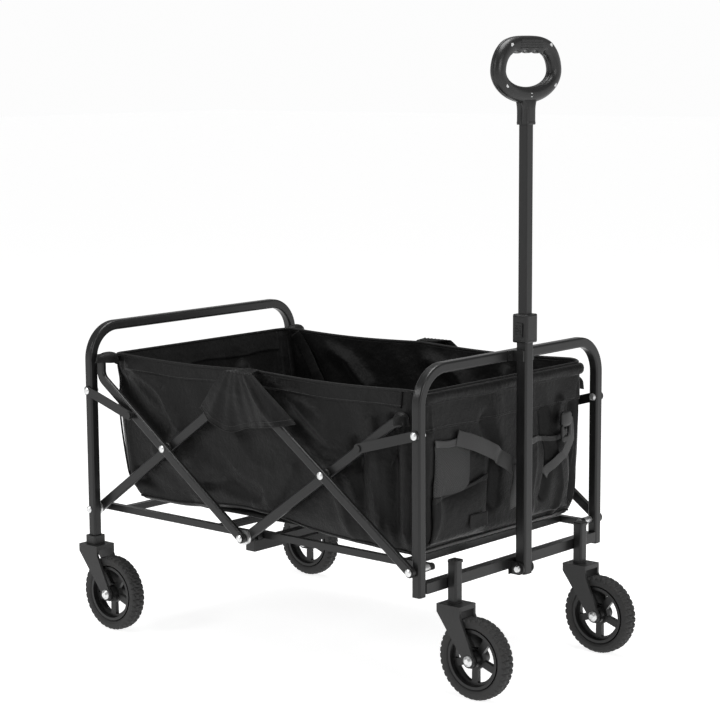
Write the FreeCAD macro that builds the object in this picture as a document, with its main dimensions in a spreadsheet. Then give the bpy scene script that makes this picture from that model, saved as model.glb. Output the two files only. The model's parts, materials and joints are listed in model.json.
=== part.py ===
"""Folding utility wagon: two tube end frames, two scissor pairs a side, cloth tub, casters and a pull pole.

Frame: +X towards the pull pole, +Y to the wagon's left, +Z up. The origin lies on the floor midway
between the rear and front wheel centres. Lengths are in millimetres, angles in degrees.
"""

import FreeCAD, Part
import math
import os

import Sketcher

SIZES = {
    # overall
    "frame_span": 774.0,
    "rear_half_width": 273.0,
    "front_half_width": 254.0,
    "rear_top": 568.0,
    "front_top": 556.0,
    "rear_leg_foot": 160.0,
    "front_leg_foot": 179.0,
    # frame tube
    "tube": 18.0,
    "tube_corner": 4.0,
    "tube_bend": 60.0,
    "cross_tube_level": 192.0,
    # scissor linkage
    "pivot_level": 223.0,
    "pivot_inset": 5.0,
    "scissor_rise": 138.0,
    "bar_width": 18.0,
    "bar_thick": 10.0,
    "bar_corner": 3.5,
    "washer_gap": 2.0,
    "lane_gap": 6.0,
    "tip_run": 357.0,
    "tip_length": 42.0,
    "front_tip_run": 338.0,
    "front_tip_length": 24.0,
    # pins and rivets
    "pin_radius": 3.0,
    "pin_play": 0.05,
    "open_play": 0.6,
    "head_radius": 6.5,
    "head_height": 3.0,
    "washer_play": 0.15,
    "spacer_radius": 13.0,
    # short links
    "link_level": 450.5,
    "link_run": 270.0,
    "link_width": 17.0,
    "link_thick": 3.0,
    # folding floor frame
    "floor_bar": 12.0,
    "floor_lane": 11.0,
    "floor_overlap": 12.0,
    "floor_near_cross": 50.0,
    "floor_far_cross": 296.0,
    "floor_gap": 3.5,
    "hub_tube": 20.0,
    "hub_drop": 17.5,
    "lug_thick": 2.5,
    # wheels
    "wheel_radius": 70.0,
    "wheel_half": 14.6,
    "tyre_shoulder": 6.0,
    "rim_radius": 51.0,
    "rim_lip": 45.0,
    "rim_half": 12.5,
    "web_half": 4.0,
    "hub_radius": 14.0,
    "hub_half": 15.5,
    "axle_radius": 5.0,
    "axle_play": 0.05,
    "spokes": 5.0,
    "tread_count": 24.0,
    "tread_depth": 2.4,
    "tread_gap": 7.0,
    # forks and casters
    "rear_trail": 50.0,
    "front_trail": 45.5,
    "caster_half": 181.7,
    "stem": 19.0,
    "stem_top": 228.0,
    "cap_height": 5.0,
    "fork_top": 158.0,
    "fork_plate": 8.0,
    "fork_gap": 34.0,
    "fork_cheek": 5.0,
    "fork_back": 22.0,
    "fork_front": 27.0,
    "fork_eye": 12.0,
    "socket_wall": 4.5,
    "socket_height": 16.0,
    "nut_radius": 9.0,
    "nut_height": 6.0,
    "kingpin_radius": 6.0,
    # pull pole
    "pole_stand": 27.0,
    "pole_foot": 175.0,
    "pole_pivot": 185.0,
    "pole_outer": 22.0,
    "pole_wall": 1.8,
    "pole_play": 0.2,
    "pole_joint": 612.0,
    "inner_foot": 520.0,
    "inner_top": 978.0,
    "ear_thick": 4.0,
    "ear_radius": 13.0,
    "ear_play": 0.5,
    "clip_low": 548.0,
    "clip_high": 566.0,
    "clip_arm": 4.0,
    "collar_low": 579.5,
    "collar_high": 628.5,
    "collar_width": 33.0,
    "collar_depth": 32.0,
    "button_width": 15.0,
    "button_height": 24.0,
    "button_proud": 2.5,
    "button_travel": 2.5,
    # grip
    "neck_low": 949.0,
    "ring_low": 985.0,
    "ring_top": 1097.0,
    "ring_half": 92.0,
    "ring_corner": 50.0,
    "hole_half": 66.0,
    "hole_low": 1012.0,
    "hole_top": 1070.0,
    "hole_corner": 25.0,
    "finger_wave": 4.0,
    "grip_half_depth": 12.0,
    "neck_half": 12.5,
    "seam": 0.25,
    "grip_screw": 3.6,
    "screw_top_out": 54.5,
    "screw_top_drop": 16.0,
    "screw_low_out": 67.0,
    "screw_low_rise": 30.0,
    "screw_neck_rise": 9.0,
    # cloth tub stand-in
    "rim_level": 518.0,
    "flap_width": 220.0,
    "flap_forward": 20.0,
    "flap_drop": 94.0,
    "flap_gap": 1.5,
    "flap_cloth": 2.0,
    "tub_floor": 243.0,
    "tub_half": 236.0,
    "tub_front_inset": 14.0,
    "tub_rear_inset": 15.0,
    "tub_rear_slant": 38.0,
    "tub_front_slant": 9.0,
    "cloth": 4.0,
}

doc = FreeCAD.newDocument("wagon")
sheet = doc.addObject("Spreadsheet::Sheet", "Dims")
parts = []


class Dim:
    """A length: its present number, and the expression that ties it to the sheet."""

    def __init__(self, value, text):
        self.value = float(value)
        self.text = text

    def __add__(self, other):
        other = dim(other)
        return Dim(self.value + other.value, f"({self.text} + {other.text})")

    def __sub__(self, other):
        other = dim(other)
        return Dim(self.value - other.value, f"({self.text} - {other.text})")

    def __mul__(self, other):
        other = dim(other)
        return Dim(self.value * other.value, f"({self.text} * {other.text})")

    def __truediv__(self, other):
        other = dim(other)
        return Dim(self.value / other.value, f"({self.text} / {other.text})")

    def __radd__(self, other):
        return dim(other) + self

    def __rsub__(self, other):
        return dim(other) - self

    def __rmul__(self, other):
        return dim(other) * self

    def __neg__(self):
        return dim(-1) * self


def dim(value):
    """A number as a Dim; a Dim is passed through."""
    return value if isinstance(value, Dim) else Dim(value, repr(float(value)))


def root(value):
    """The square root of a Dim."""
    return Dim(math.sqrt(value.value), f"sqrt({value.text})")


def slope(rise, run):
    """The angle in degrees whose tangent is rise over run."""
    angle = math.degrees(math.atan(rise.value / run.value))
    return Dim(angle, f"atan({rise.text} / {run.text})")


def turn(value):
    """A plain number of degrees."""
    return Dim(value, f"{float(value)!r} deg")


for row, (alias, size) in enumerate(SIZES.items(), start=1):
    sheet.set(f"A{row}", alias)
    sheet.set(f"B{row}", str(size))
    sheet.setAlias(f"B{row}", alias)
doc.recompute()
D = {alias: Dim(size, f"Dims.{alias}") for alias, size in SIZES.items()}


# ---------------------------------------------------------------- helpers


def bind(obj, path, value):
    """Sets a property by expression."""
    obj.setExpression(path, dim(value).text)


def place(obj, x, y, z, axis=(0, 0, 1), angle=None):
    """Places an object at x, y, z, turned about axis, all bound to the sheet."""
    x, y, z = dim(x), dim(y), dim(z)
    angle = angle or turn(0)
    base = FreeCAD.Vector(x.value, y.value, z.value)
    obj.Placement = FreeCAD.Placement(base, FreeCAD.Rotation(FreeCAD.Vector(*axis), angle.value))
    bind(obj, "Placement.Base.x", x)
    bind(obj, "Placement.Base.y", y)
    bind(obj, "Placement.Base.z", z)
    if angle.value:
        bind(obj, "Placement.Rotation.Angle", angle)
    return obj


def new_body(label):
    """An empty body with its label."""
    body = doc.addObject("PartDesign::Body", label)
    body.Label = label
    return body


def origin(body, role):
    """A plane or axis of a body's own origin."""
    return [item for item in body.Origin.OriginFeatures if item.Role == role][0]


def new_sketch(body, role, offset=None):
    """A sketch on one of the body's origin planes, moved along its normal."""
    sketch = body.newObject("Sketcher::SketchObject", "sketch")
    sketch.AttachmentSupport = (origin(body, role), "")
    sketch.MapMode = "FlatFace"
    if offset is not None:
        bind(sketch, "AttachmentOffset.Base.z", offset)
    return sketch


def locate(sketch, geo, end, x, y):
    """Ties one point of a sketch to x, y from the sketch's origin."""
    for kind, value in (("DistanceX", dim(x)), ("DistanceY", dim(y))):
        number = sketch.addConstraint(Sketcher.Constraint(kind, -1, 1, geo, end, value.value))
        sketch.setExpression(f"Constraints[{number}]", value.text)


def arc_between(start, end, radius, left):
    """An arc of the given radius; left means that it bulges to the left of start to end."""
    half = (end - start) * 0.5
    side = FreeCAD.Vector(-half.y, half.x, 0)
    side.normalize()
    side = side if left else side * -1
    sagitta = radius - math.sqrt(max(radius**2 - half.Length**2, 0.0))
    return Part.Arc(start, start + half + side * sagitta, end)


def outline(sketch, points, arcs=None, closed=True):
    """Draws lines and arcs through points. arcs maps a segment's number to (radius, left)."""
    arcs = arcs or {}
    count = len(points) if closed else len(points) - 1
    spots = [FreeCAD.Vector(dim(x).value, dim(y).value, 0) for x, y in points]
    drawn = []
    for i in range(count):
        start = spots[i]
        end = spots[(i + 1) % len(points)]
        if i in arcs:
            radius, left = arcs[i]
            geo = sketch.addGeometry(arc_between(start, end, dim(radius).value, left), False)
            drawn.append((geo, 2, 1) if left else (geo, 1, 2))
        else:
            geo = sketch.addGeometry(Part.LineSegment(start, end), False)
            drawn.append((geo, 1, 2))
    for i in range(count if closed else count - 1):
        geo, _, last = drawn[i]
        following, first, _ = drawn[(i + 1) % count]
        sketch.addConstraint(Sketcher.Constraint("Coincident", geo, last, following, first))
    for i in range(count):
        locate(sketch, drawn[i][0], drawn[i][1], *points[i])
    if not closed:
        locate(sketch, drawn[-1][0], drawn[-1][2], *points[-1])
    for i, (radius, _) in arcs.items():
        radius = dim(radius)
        number = sketch.addConstraint(Sketcher.Constraint("Radius", drawn[i][0], radius.value))
        sketch.setExpression(f"Constraints[{number}]", radius.text)
    return sketch


def rectangle(sketch, x0, x1, y0, y1):
    """A rectangle from its four edges' positions."""
    return outline(sketch, [(x0, y0), (x1, y0), (x1, y1), (x0, y1)])


def rounded(sketch, x0, x1, y0, y1, radius):
    """A rectangle with rounded corners."""
    points = [(x0 + radius, y0), (x1 - radius, y0), (x1, y0 + radius), (x1, y1 - radius)]
    points += [(x1 - radius, y1), (x0 + radius, y1), (x0, y1 - radius), (x0, y0 + radius)]
    return outline(sketch, points, {i: (radius, False) for i in (1, 3, 5, 7)})


def circle(sketch, x, y, radius):
    """A circle from its centre and radius."""
    x, y, radius = dim(x), dim(y), dim(radius)
    centre = FreeCAD.Vector(x.value, y.value, 0)
    shape = Part.Circle(centre, FreeCAD.Vector(0, 0, 1), radius.value)
    geo = sketch.addGeometry(shape, False)
    locate(sketch, geo, 3, x, y)
    number = sketch.addConstraint(Sketcher.Constraint("Radius", geo, radius.value))
    sketch.setExpression(f"Constraints[{number}]", radius.text)
    return sketch


def pad(body, sketch, length, symmetric=True, reverse=False):
    """Adds a prism over a sketch."""
    feature = body.newObject("PartDesign::Pad", "pad")
    feature.Profile = sketch
    bind(feature, "Length", length)
    feature.SideType = "Symmetric" if symmetric else "One side"
    feature.Reversed = reverse
    doc.recompute()
    return feature


def pocket(body, sketch, depth=None, reverse=False):
    """Cuts a sketch through the whole body, or to a depth on one side."""
    before = body.Shape.Volume
    feature = body.newObject("PartDesign::Pocket", "pocket")
    feature.Profile = sketch
    if depth is None:
        feature.SideType = "Symmetric"
        feature.Type = "ThroughAll"
    else:
        bind(feature, "Length", depth)
        feature.Reversed = reverse
    doc.recompute()
    if not body.Shape.Volume < before - 0.1:
        raise RuntimeError(f"{body.Label}: a pocket cuts nothing")
    return feature


def revolve(body, sketch, role):
    """Turns a sketch about one of the body's origin axes."""
    feature = body.newObject("PartDesign::Revolution", "revolution")
    feature.Profile = sketch
    feature.ReferenceAxis = (origin(body, role), [""])
    feature.Angle = 360
    doc.recompute()
    return feature


def pipe(body, profile, path):
    """Sweeps a profile along a path."""
    feature = body.newObject("PartDesign::AdditivePipe", "pipe")
    feature.Profile = profile
    feature.Spine = path
    doc.recompute()
    return feature


def around(body, feature, role, count):
    """Repeats a feature evenly about one of the body's origin axes."""
    pattern = body.newObject("PartDesign::PolarPattern", "pattern")
    pattern.Originals = [feature]
    pattern.Axis = (origin(body, role), [""])
    pattern.Angle = 360
    bind(pattern, "Occurrences", count)
    body.Tip = pattern
    doc.recompute()
    return pattern


def soften(body, radius, test):
    """Rounds the edges that the test picks."""
    base = body.Tip
    names = [f"Edge{i}" for i, edge in enumerate(base.Shape.Edges, start=1) if test(edge)]
    feature = body.newObject("PartDesign::Fillet", "fillet")
    feature.Base = (base, names)
    bind(feature, "Radius", radius)
    doc.recompute()
    return feature


def spread(edge):
    """The size of an edge's bounding box along X, Y and Z."""
    box = edge.BoundBox
    return box.XLength, box.YLength, box.ZLength


def group(label, items):
    """One node made of several loose pieces of the same kind."""
    compound = doc.addObject("Part::Compound", label)
    compound.Label = label
    compound.Links = items
    parts.append(compound)
    return compound


def keep(obj):
    """Lists an object as a sub-part."""
    parts.append(obj)
    return obj


SIDES = (("left", 1), ("right", -1))

# ---------------------------------------------------------------- derived positions

half_tube = D["tube"] / 2
rear_x = -(D["frame_span"] + D["rear_trail"] + half_tube + D["stem"] / 2 + D["front_trail"]) / 2
front_x = rear_x + D["frame_span"]
rear_pivot_x = rear_x - D["pivot_inset"]
front_pivot_x = front_x - D["pivot_inset"]
run = D["frame_span"] / 4
rise = D["scissor_rise"]
reach = root(run * run + rise * rise)
lean = slope(rise, run)
mid_x = rear_pivot_x + run * 2
top_level = D["pivot_level"] + rise * 2
half_bar = D["bar_width"] / 2
pin_hole = D["pin_radius"] + D["pin_play"]

# Lanes across the width, measured from the middle plane outwards.
outer_low = D["front_half_width"] + half_tube + D["washer_gap"]
outer_high = outer_low + D["bar_thick"]
inner_high = outer_low - D["lane_gap"]
inner_low = inner_high - D["bar_thick"]
outer_lane = (outer_low + outer_high) / 2
inner_lane = (inner_low + inner_high) / 2
rear_out = D["rear_half_width"] + half_tube
front_out = D["front_half_width"] + half_tube
front_in = D["front_half_width"] - half_tube
lug_high = inner_low - 0.5
lug_low = lug_high - D["lug_thick"]
rear_floor_high = lug_low - D["floor_gap"] - D["head_height"]
rear_floor_low = rear_floor_high - D["floor_lane"]
front_floor_high = rear_floor_low - D["floor_gap"]
front_floor_low = front_floor_high - D["floor_lane"]


# ---------------------------------------------------------------- end frames


def u_frame(label, x, half_width, top, foot, holes):
    """An inverted U of square tube. holes are (x, z, radius) through both legs."""
    body = new_body(label)
    bend = D["tube_bend"]
    path = new_sketch(body, "YZ_Plane")
    points = [(-half_width, foot), (-half_width, top - bend), (bend - half_width, top)]
    points += [(half_width - bend, top), (half_width, top - bend), (half_width, foot)]
    outline(path, points, {1: (bend, True), 3: (bend, True)}, closed=False)
    profile = new_sketch(body, "XY_Plane", foot)
    low, high = -half_width - half_tube, half_tube - half_width
    rounded(profile, -half_tube, half_tube, low, high, D["tube_corner"])
    pipe(body, profile, path)
    for hole_x, hole_z, radius in holes:
        pocket(body, circle(new_sketch(body, "XZ_Plane"), hole_x, hole_z, radius))
    place(body, x, 0, 0)
    return keep(body)


pivot_hole = (-D["pivot_inset"], D["pivot_level"], pin_hole)
link_hole = (dim(0), D["link_level"], pin_hole)
u_frame(
    "rear_u_frame",
    rear_x,
    D["rear_half_width"],
    D["rear_top"],
    D["rear_leg_foot"],
    [pivot_hole, link_hole],
)
u_frame(
    "front_u_frame",
    front_x,
    D["front_half_width"],
    D["front_top"],
    D["front_leg_foot"],
    [pivot_hole, link_hole],
)

body = new_body("front_cross_tube")
rounded(
    new_sketch(body, "YZ_Plane"),
    -front_in,
    front_in,
    -half_tube,
    half_tube,
    D["tube_corner"] / 2,
)
pad(body, body.Group[0], D["tube"])
place(body, front_x, 0, D["cross_tube_level"])
keep(body)


# ---------------------------------------------------------------- rivets and pins


def turned(label, x, z, side, profile):
    """A turned piece along Y, from (distance across, radius) corners on the side given."""
    body = new_body(label)
    sketch = new_sketch(body, "XY_Plane")
    points = [(0, profile[0][0])] + [(r, y) for y, r in profile] + [(0, profile[-1][0])]
    points = [(r, y * side) for r, y in points]
    outline(sketch, points)
    revolve(body, sketch, "Y_Axis")
    place(body, x, 0, z)
    return body


def rivet(label, x, z, side, low, high, ring=None):
    """A rivet with a domed head at both ends. ring is a spacer's (low, high, radius) on its shank."""
    head, step = D["head_radius"], D["head_height"]
    shank = D["pin_radius"]
    profile = [(low - step, head * 0.55), (low - step * 0.45, head), (low, head), (low, shank)]
    if ring:
        profile += [(ring[0], shank), (ring[0], ring[2]), (ring[1], ring[2]), (ring[1], shank)]
    profile += [(high, shank), (high, head), (high + step * 0.45, head), (high + step, head * 0.55)]
    return turned(label, x, z, side, profile)


play = D["washer_play"]
level = D["pivot_level"]
mid_level = level + rise
spacer = D["spacer_radius"]
rear_frame_rivets = []
front_frame_rivets = []
bar_a_rivets = []
bar_c_rivets = []
bottom_pins = []
link_rivets_rear = []
link_rivets_front = []
for name, side in SIDES:
    spot = rivet(
        f"rear_pivot_{name}",
        rear_pivot_x,
        level,
        side,
        rear_floor_low - play,
        rear_out + play,
        (inner_high + play, rear_out - D["tube"] - play, spacer),
    )
    rear_frame_rivets.append(spot)
    link_out = rear_out + play * 2 + D["link_thick"]
    spot = rivet(
        f"rear_link_pin_{name}",
        rear_x,
        D["link_level"],
        side,
        rear_out - D["tube"] - play,
        link_out + play,
    )
    rear_frame_rivets.append(spot)
    spot = rivet(
        f"front_pivot_{name}",
        front_pivot_x,
        level,
        side,
        front_floor_low - play,
        outer_high + play,
        (front_floor_high + play, front_in - play, D["head_radius"]),
    )
    front_frame_rivets.append(spot)
    spot = rivet(
        f"front_link_pin_{name}",
        front_x,
        D["link_level"],
        side,
        front_in - play,
        front_out + play * 2 + D["link_thick"] + play,
    )
    front_frame_rivets.append(spot)
    mid_ring = (inner_high + play, outer_low - play, D["head_radius"])
    spot = rivet(
        f"rear_mid_{name}",
        rear_pivot_x + run,
        mid_level,
        side,
        inner_low - play,
        outer_high + play,
        mid_ring,
    )
    bar_a_rivets.append(spot)
    spot = rivet(
        f"front_mid_{name}",
        mid_x + run,
        mid_level,
        side,
        inner_low - play,
        outer_high + play,
        mid_ring,
    )
    bar_c_rivets.append(spot)
    spot = rivet(
        f"bottom_pin_{name}",
        mid_x,
        level,
        side,
        lug_low - play,
        outer_high + play,
        (inner_high + play, outer_low - play, spacer),
    )
    bottom_pins.append(spot)
    keep(
        rivet(
            f"top_hub_{name}",
            mid_x,
            top_level,
            side,
            inner_low - play,
            outer_high + play,
            (inner_high + play, outer_low - play, spacer),
        )
    )

group("rear_frame_rivets", rear_frame_rivets)
group("front_frame_rivets", front_frame_rivets)
group("bar_a_rivets", bar_a_rivets)
group("bar_c_rivets", bar_c_rivets)
group("bottom_pins", bottom_pins)


# ---------------------------------------------------------------- scissor bars


def along_x(edge):
    """True for an edge that runs along the body's own X."""
    x, y, z = spread(edge)
    return x > 25 and y < 0.01 and z < 0.01


def bar(label, x, z, y, angle, length, holes):
    """A flat-sided tube with round ends, from its pivot out along its own X."""
    body = new_body(label)
    rectangle(new_sketch(body, "XZ_Plane"), 0, length, -half_bar, half_bar)
    pad(body, body.Group[0], D["bar_thick"])
    soften(body, D["bar_corner"], along_x)
    ends = new_sketch(body, "XZ_Plane")
    circle(ends, 0, 0, half_bar)
    pad(body, ends, D["bar_thick"] - D["bar_corner"] * 0.6)
    ends = new_sketch(body, "XZ_Plane")
    circle(ends, length, 0, half_bar)
    pad(body, ends, D["bar_thick"] - D["bar_corner"] * 0.6)
    for distance, radius in holes:
        pocket(body, circle(new_sketch(body, "XZ_Plane"), distance, 0, radius))
    place(body, x, y, z, (0, -1, 0), angle)
    return keep(body)


def tipped_bar(label, y, flip, run_out, tip, tip_lean, holes):
    """A bar that bends near its far end into a tip held by the tub's corner.

    flip is 1 for a bar that climbs towards -X and -1 for one that climbs towards +X. The tip
    leaves the bend at tip_lean degrees above the horizontal.
    """
    body = new_body(label)
    bend = D["bar_width"] * 1.3
    straight = run_out * reach / run
    swing = tip_lean - lean
    rising = swing.value > 0
    half_swing = swing / 2 if rising else swing / -2
    cut = bend * Dim(math.tan(math.radians(half_swing.value)), f"tan({half_swing.text})")
    aside = Dim(math.sin(math.radians(swing.value)), f"sin({swing.text})")
    ahead = Dim(math.cos(math.radians(swing.value)), f"cos({swing.text})")
    path = new_sketch(body, "XZ_Plane")
    points = [
        (0, 0),
        (straight - cut, 0),
        (straight + cut * ahead, cut * aside * -flip),
        (straight + tip * ahead, tip * aside * -flip),
    ]
    outline(path, points, {1: (bend, rising == (flip > 0))}, closed=False)
    profile = new_sketch(body, "YZ_Plane")
    half_thick = D["bar_thick"] / 2
    rounded(profile, -half_thick, half_thick, -half_bar, half_bar, D["bar_corner"])
    pipe(body, profile, path)
    ends = new_sketch(body, "XZ_Plane")
    circle(ends, 0, 0, half_bar)
    pad(body, ends, D["bar_thick"] - D["bar_corner"] * 0.6)
    for distance, radius in holes:
        pocket(body, circle(new_sketch(body, "XZ_Plane"), distance, 0, radius))
    angle = turn(180) - lean if flip > 0 else lean
    place(body, mid_x, y, D["pivot_level"], (0, -1, 0), angle)
    return keep(body)


span = reach * 2
open_hole = D["pin_radius"] + D["open_play"]
three_holes = [(dim(0), pin_hole), (reach, pin_hole), (span, pin_hole)]
for name, side in SIDES:
    two_holes = [(dim(0), pin_hole), (reach, pin_hole)]
    tipped_bar(
        f"bar_a_{name}",
        outer_lane * side,
        1,
        D["tip_run"],
        D["tip_length"],
        turn(90),
        two_holes,
    )
    bar(
        f"bar_b_{name}",
        rear_pivot_x,
        level,
        inner_lane * side,
        lean,
        span,
        three_holes,
    )
    bar(
        f"bar_c_{name}",
        front_pivot_x,
        level,
        outer_lane * side,
        turn(180) - lean,
        span,
        three_holes,
    )
    tipped_bar(
        f"bar_d_{name}",
        inner_lane * side,
        -1,
        D["front_tip_run"],
        D["front_tip_length"],
        turn(20),
        [(dim(0), pin_hole), (reach, open_hole)],
    )


# ---------------------------------------------------------------- short links


def link(label, x, side, y_low, bar_x, stub_low):
    """A flat strip from a leg to a bar, with the short pin that it carries at the bar."""
    body = new_body(label)
    out = bar_x - x
    drop = D["pivot_level"] + D["link_run"] * rise / run - D["link_level"]
    length = root(out * out + drop * drop)
    half = D["link_width"] / 2
    rectangle(new_sketch(body, "XZ_Plane"), 0, length, -half, half)
    pad(body, body.Group[0], D["link_thick"])
    for end in (dim(0), length):
        pad(body, circle(new_sketch(body, "XZ_Plane"), end, 0, half), D["link_thick"])
    pocket(body, circle(new_sketch(body, "XZ_Plane"), 0, 0, pin_hole))
    head = new_sketch(body, "XZ_Plane")
    circle(head, length, 0, D["head_radius"])
    face = D["link_thick"] / 2
    pad(body, head, face + D["head_height"] * 0.8, symmetric=False, reverse=side > 0)
    stub = new_sketch(body, "XZ_Plane")
    circle(stub, length, 0, D["head_radius"])
    pad(body, stub, y_low + face - stub_low, symmetric=False, reverse=side < 0)
    tilt = slope(drop, out)
    angle = tilt if out.value > 0 else turn(180) + tilt
    place(body, x, (y_low + face) * side, D["link_level"], (0, -1, 0), angle)
    return keep(body)


for name, side in SIDES:
    link(
        f"rear_link_{name}",
        rear_x,
        side,
        rear_out + play * 2,
        mid_x - D["link_run"],
        outer_high + 0.5,
    )
    link(
        f"front_link_{name}",
        front_x,
        side,
        front_out + play * 2,
        mid_x + D["link_run"],
        inner_high + 0.5,
    )


# ---------------------------------------------------------------- floor frames and bottom hub


def box(label, x0, x1, y0, y1, z0, z1):
    """A plain box from the positions of its faces."""
    item = doc.addObject("Part::Box", label)
    item.Label = label
    bind(item, "Length", x1 - x0)
    bind(item, "Width", y1 - y0)
    bind(item, "Height", z1 - z0)
    return place(item, x0, y0, z0)


half_floor = D["floor_bar"] / 2
floor_length = run * 2 + D["floor_overlap"]


def floor_frame(end, pivot_x, facing, low, high):
    """A ladder frame: two side bars on the end frame's low pivots, welded to two cross bars."""
    rails = []
    for name, side in SIDES:
        rail = new_body(f"{end}_floor_rail_{name}")
        sketch = new_sketch(rail, "XZ_Plane")
        rectangle(sketch, 0, floor_length, -half_floor, half_floor)
        pad(rail, sketch, D["floor_lane"])
        pad(rail, circle(new_sketch(rail, "XZ_Plane"), 0, 0, half_floor), D["floor_lane"])
        pocket(rail, circle(new_sketch(rail, "XZ_Plane"), 0, 0, pin_hole))
        angle = turn(0) if facing > 0 else turn(180)
        place(rail, pivot_x, (low + high) / 2 * side, level, (0, -1, 0), angle)
        rails.append(rail)
    for number, distance in enumerate((D["floor_near_cross"], D["floor_far_cross"])):
        centre = pivot_x + distance * facing
        tie = box(
            f"{end}_floor_tie_{number}",
            centre - half_floor,
            centre + half_floor,
            -low,
            low,
            level - half_floor,
            level + half_floor,
        )
        rails.append(tie)
    group(f"floor_{end}_frame", rails)


floor_frame("rear", rear_pivot_x, 1, rear_floor_low, rear_floor_high)
floor_frame("front", front_pivot_x, -1, front_floor_low, front_floor_high)

body = new_body("bottom_cross_tube")
half_hub = D["hub_tube"] / 2
sketch = new_sketch(body, "YZ_Plane")
rounded(sketch, -lug_high, lug_high, -half_hub, half_hub, D["tube_corner"] / 2)
pad(body, sketch, D["hub_tube"])
for name, side in SIDES:
    ends = new_sketch(body, "YZ_Plane")
    y0, y1 = (lug_low, lug_high) if side > 0 else (-lug_high, -lug_low)
    rectangle(ends, y0, y1, 0, D["hub_drop"])
    pad(body, ends, D["hub_tube"])
    eye = new_sketch(body, "XZ_Plane", lug_low * -side)
    circle(eye, 0, D["hub_drop"], half_hub)
    pad(body, eye, D["lug_thick"], symmetric=False, reverse=side > 0)
pocket(body, circle(new_sketch(body, "XZ_Plane"), 0, D["hub_drop"], pin_hole))
place(body, mid_x, 0, level - D["hub_drop"])
keep(body)


# ---------------------------------------------------------------- wheels


def tyre(label, x, y):
    """A tyre with rounded shoulders and two staggered rows of tread blocks."""
    body = new_body(label)
    radius, half, low = D["wheel_radius"], D["wheel_half"], D["rim_radius"]
    round_off = D["tyre_shoulder"]
    points = [
        (low, -half + 1.5),
        (low + 3, -half),
        (radius - round_off, -half),
        (radius, round_off - half),
        (radius, half - round_off),
        (radius - round_off, half),
        (low + 3, half),
        (low, half - 1.5),
    ]
    sketch = new_sketch(body, "XY_Plane")
    outline(sketch, points, {2: (round_off, False), 4: (round_off, False)})
    revolve(body, sketch, "Y_Axis")
    depth, gap = D["tread_depth"], D["tread_gap"]
    for side in (1, -1):
        slot = new_sketch(body, "XY_Plane", radius - depth)
        lean_x = gap * 0.45
        shift = gap * 0.62 * side
        points = [
            (shift - gap / 2, half * 0.12 * side),
            (shift + gap / 2, half * 0.12 * side),
            (shift + gap / 2 + lean_x, half * 1.1 * side),
            (shift - gap / 2 + lean_x, half * 1.1 * side),
        ]
        if side < 0:
            points = points[::-1]
        outline(slot, points)
        cut = pocket(body, slot, depth + 3, reverse=True)
        around(body, cut, "Y_Axis", D["tread_count"])
    place(body, x, y, D["wheel_radius"])
    return keep(body)


def rim(label, x, y):
    """A moulded wheel centre: hub, web and lip, with wedge openings between the spokes."""
    body = new_body(label)
    bore = D["axle_radius"] + D["axle_play"]
    hub, hub_half = D["hub_radius"], D["hub_half"]
    web, lip, lip_half = D["web_half"], D["rim_lip"], D["rim_half"]
    points = [
        (bore, -hub_half),
        (hub, -hub_half),
        (hub + 1, -web),
        (lip, -web),
        (lip + 1, -lip_half),
        (D["rim_radius"], -lip_half),
        (D["rim_radius"], lip_half),
        (lip + 1, lip_half),
        (lip, web),
        (hub + 1, web),
        (hub, hub_half),
        (bore, hub_half),
    ]
    sketch = new_sketch(body, "XY_Plane")
    outline(sketch, points)
    revolve(body, sketch, "Y_Axis")
    window = new_sketch(body, "XZ_Plane")
    inner, outer = hub + 5, lip - 3.5
    points = [
        (inner * -0.3, inner * 0.95),
        (outer * -0.44, outer * 0.87),
        (outer * 0.44, outer * 0.87),
        (inner * 0.3, inner * 0.95),
    ]
    outline(window, points, {1: (outer, True)})
    cut = pocket(body, window)
    around(body, cut, "Y_Axis", D["spokes"])
    place(body, x, y, D["wheel_radius"])
    return keep(body)


def fork(label, x, y, trail, socket):
    """A wheel fork: a top plate with two raked cheeks, and a socket or a kingpin above it."""
    body = new_body(label)
    top = D["fork_top"]
    half = D["fork_gap"] / 2 + D["fork_cheek"]
    axle = D["wheel_radius"]
    eye = D["fork_eye"]
    back, front = D["fork_back"], D["fork_front"]
    points = [
        (-back, top),
        (-back, top - D["fork_plate"] - 6),
        (trail - eye, axle),
        (trail + eye, axle),
        (front, top - D["fork_plate"] - 10),
        (front, top),
    ]
    outline(new_sketch(body, "XZ_Plane"), points)
    pad(body, body.Group[0], half * 2)
    pad(body, circle(new_sketch(body, "XZ_Plane"), trail, axle, eye), half * 2)
    gap = new_sketch(body, "YZ_Plane")
    hollow = D["fork_gap"] / 2
    rectangle(gap, -hollow, hollow, dim(0), top - D["fork_plate"])
    pocket(body, gap)
    bolt = circle(new_sketch(body, "XZ_Plane"), trail, axle, D["axle_radius"] + D["axle_play"])
    pocket(body, bolt)
    above = new_sketch(body, "XY_Plane", top)
    if socket:
        outside = half_tube + D["socket_wall"]
        rounded(above, -outside, outside, -outside, outside, D["tube_corner"])
        pad(body, above, D["socket_height"], symmetric=False)
        inside = half_tube + 0.2
        hole = new_sketch(body, "XY_Plane", D["rear_leg_foot"])
        rounded(hole, -inside, inside, -inside, inside, D["tube_corner"])
        pocket(body, hole, D["socket_height"], reverse=True)
    else:
        circle(above, 0, 0, D["kingpin_radius"] * 2)
        pad(body, above, 3, symmetric=False)
        pin = new_sketch(body, "XY_Plane", top)
        circle(pin, 0, 0, D["kingpin_radius"])
        pad(body, pin, D["stem_top"] - top - 4, symmetric=False)
    place(body, x, y, 0)
    return keep(body)


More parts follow.
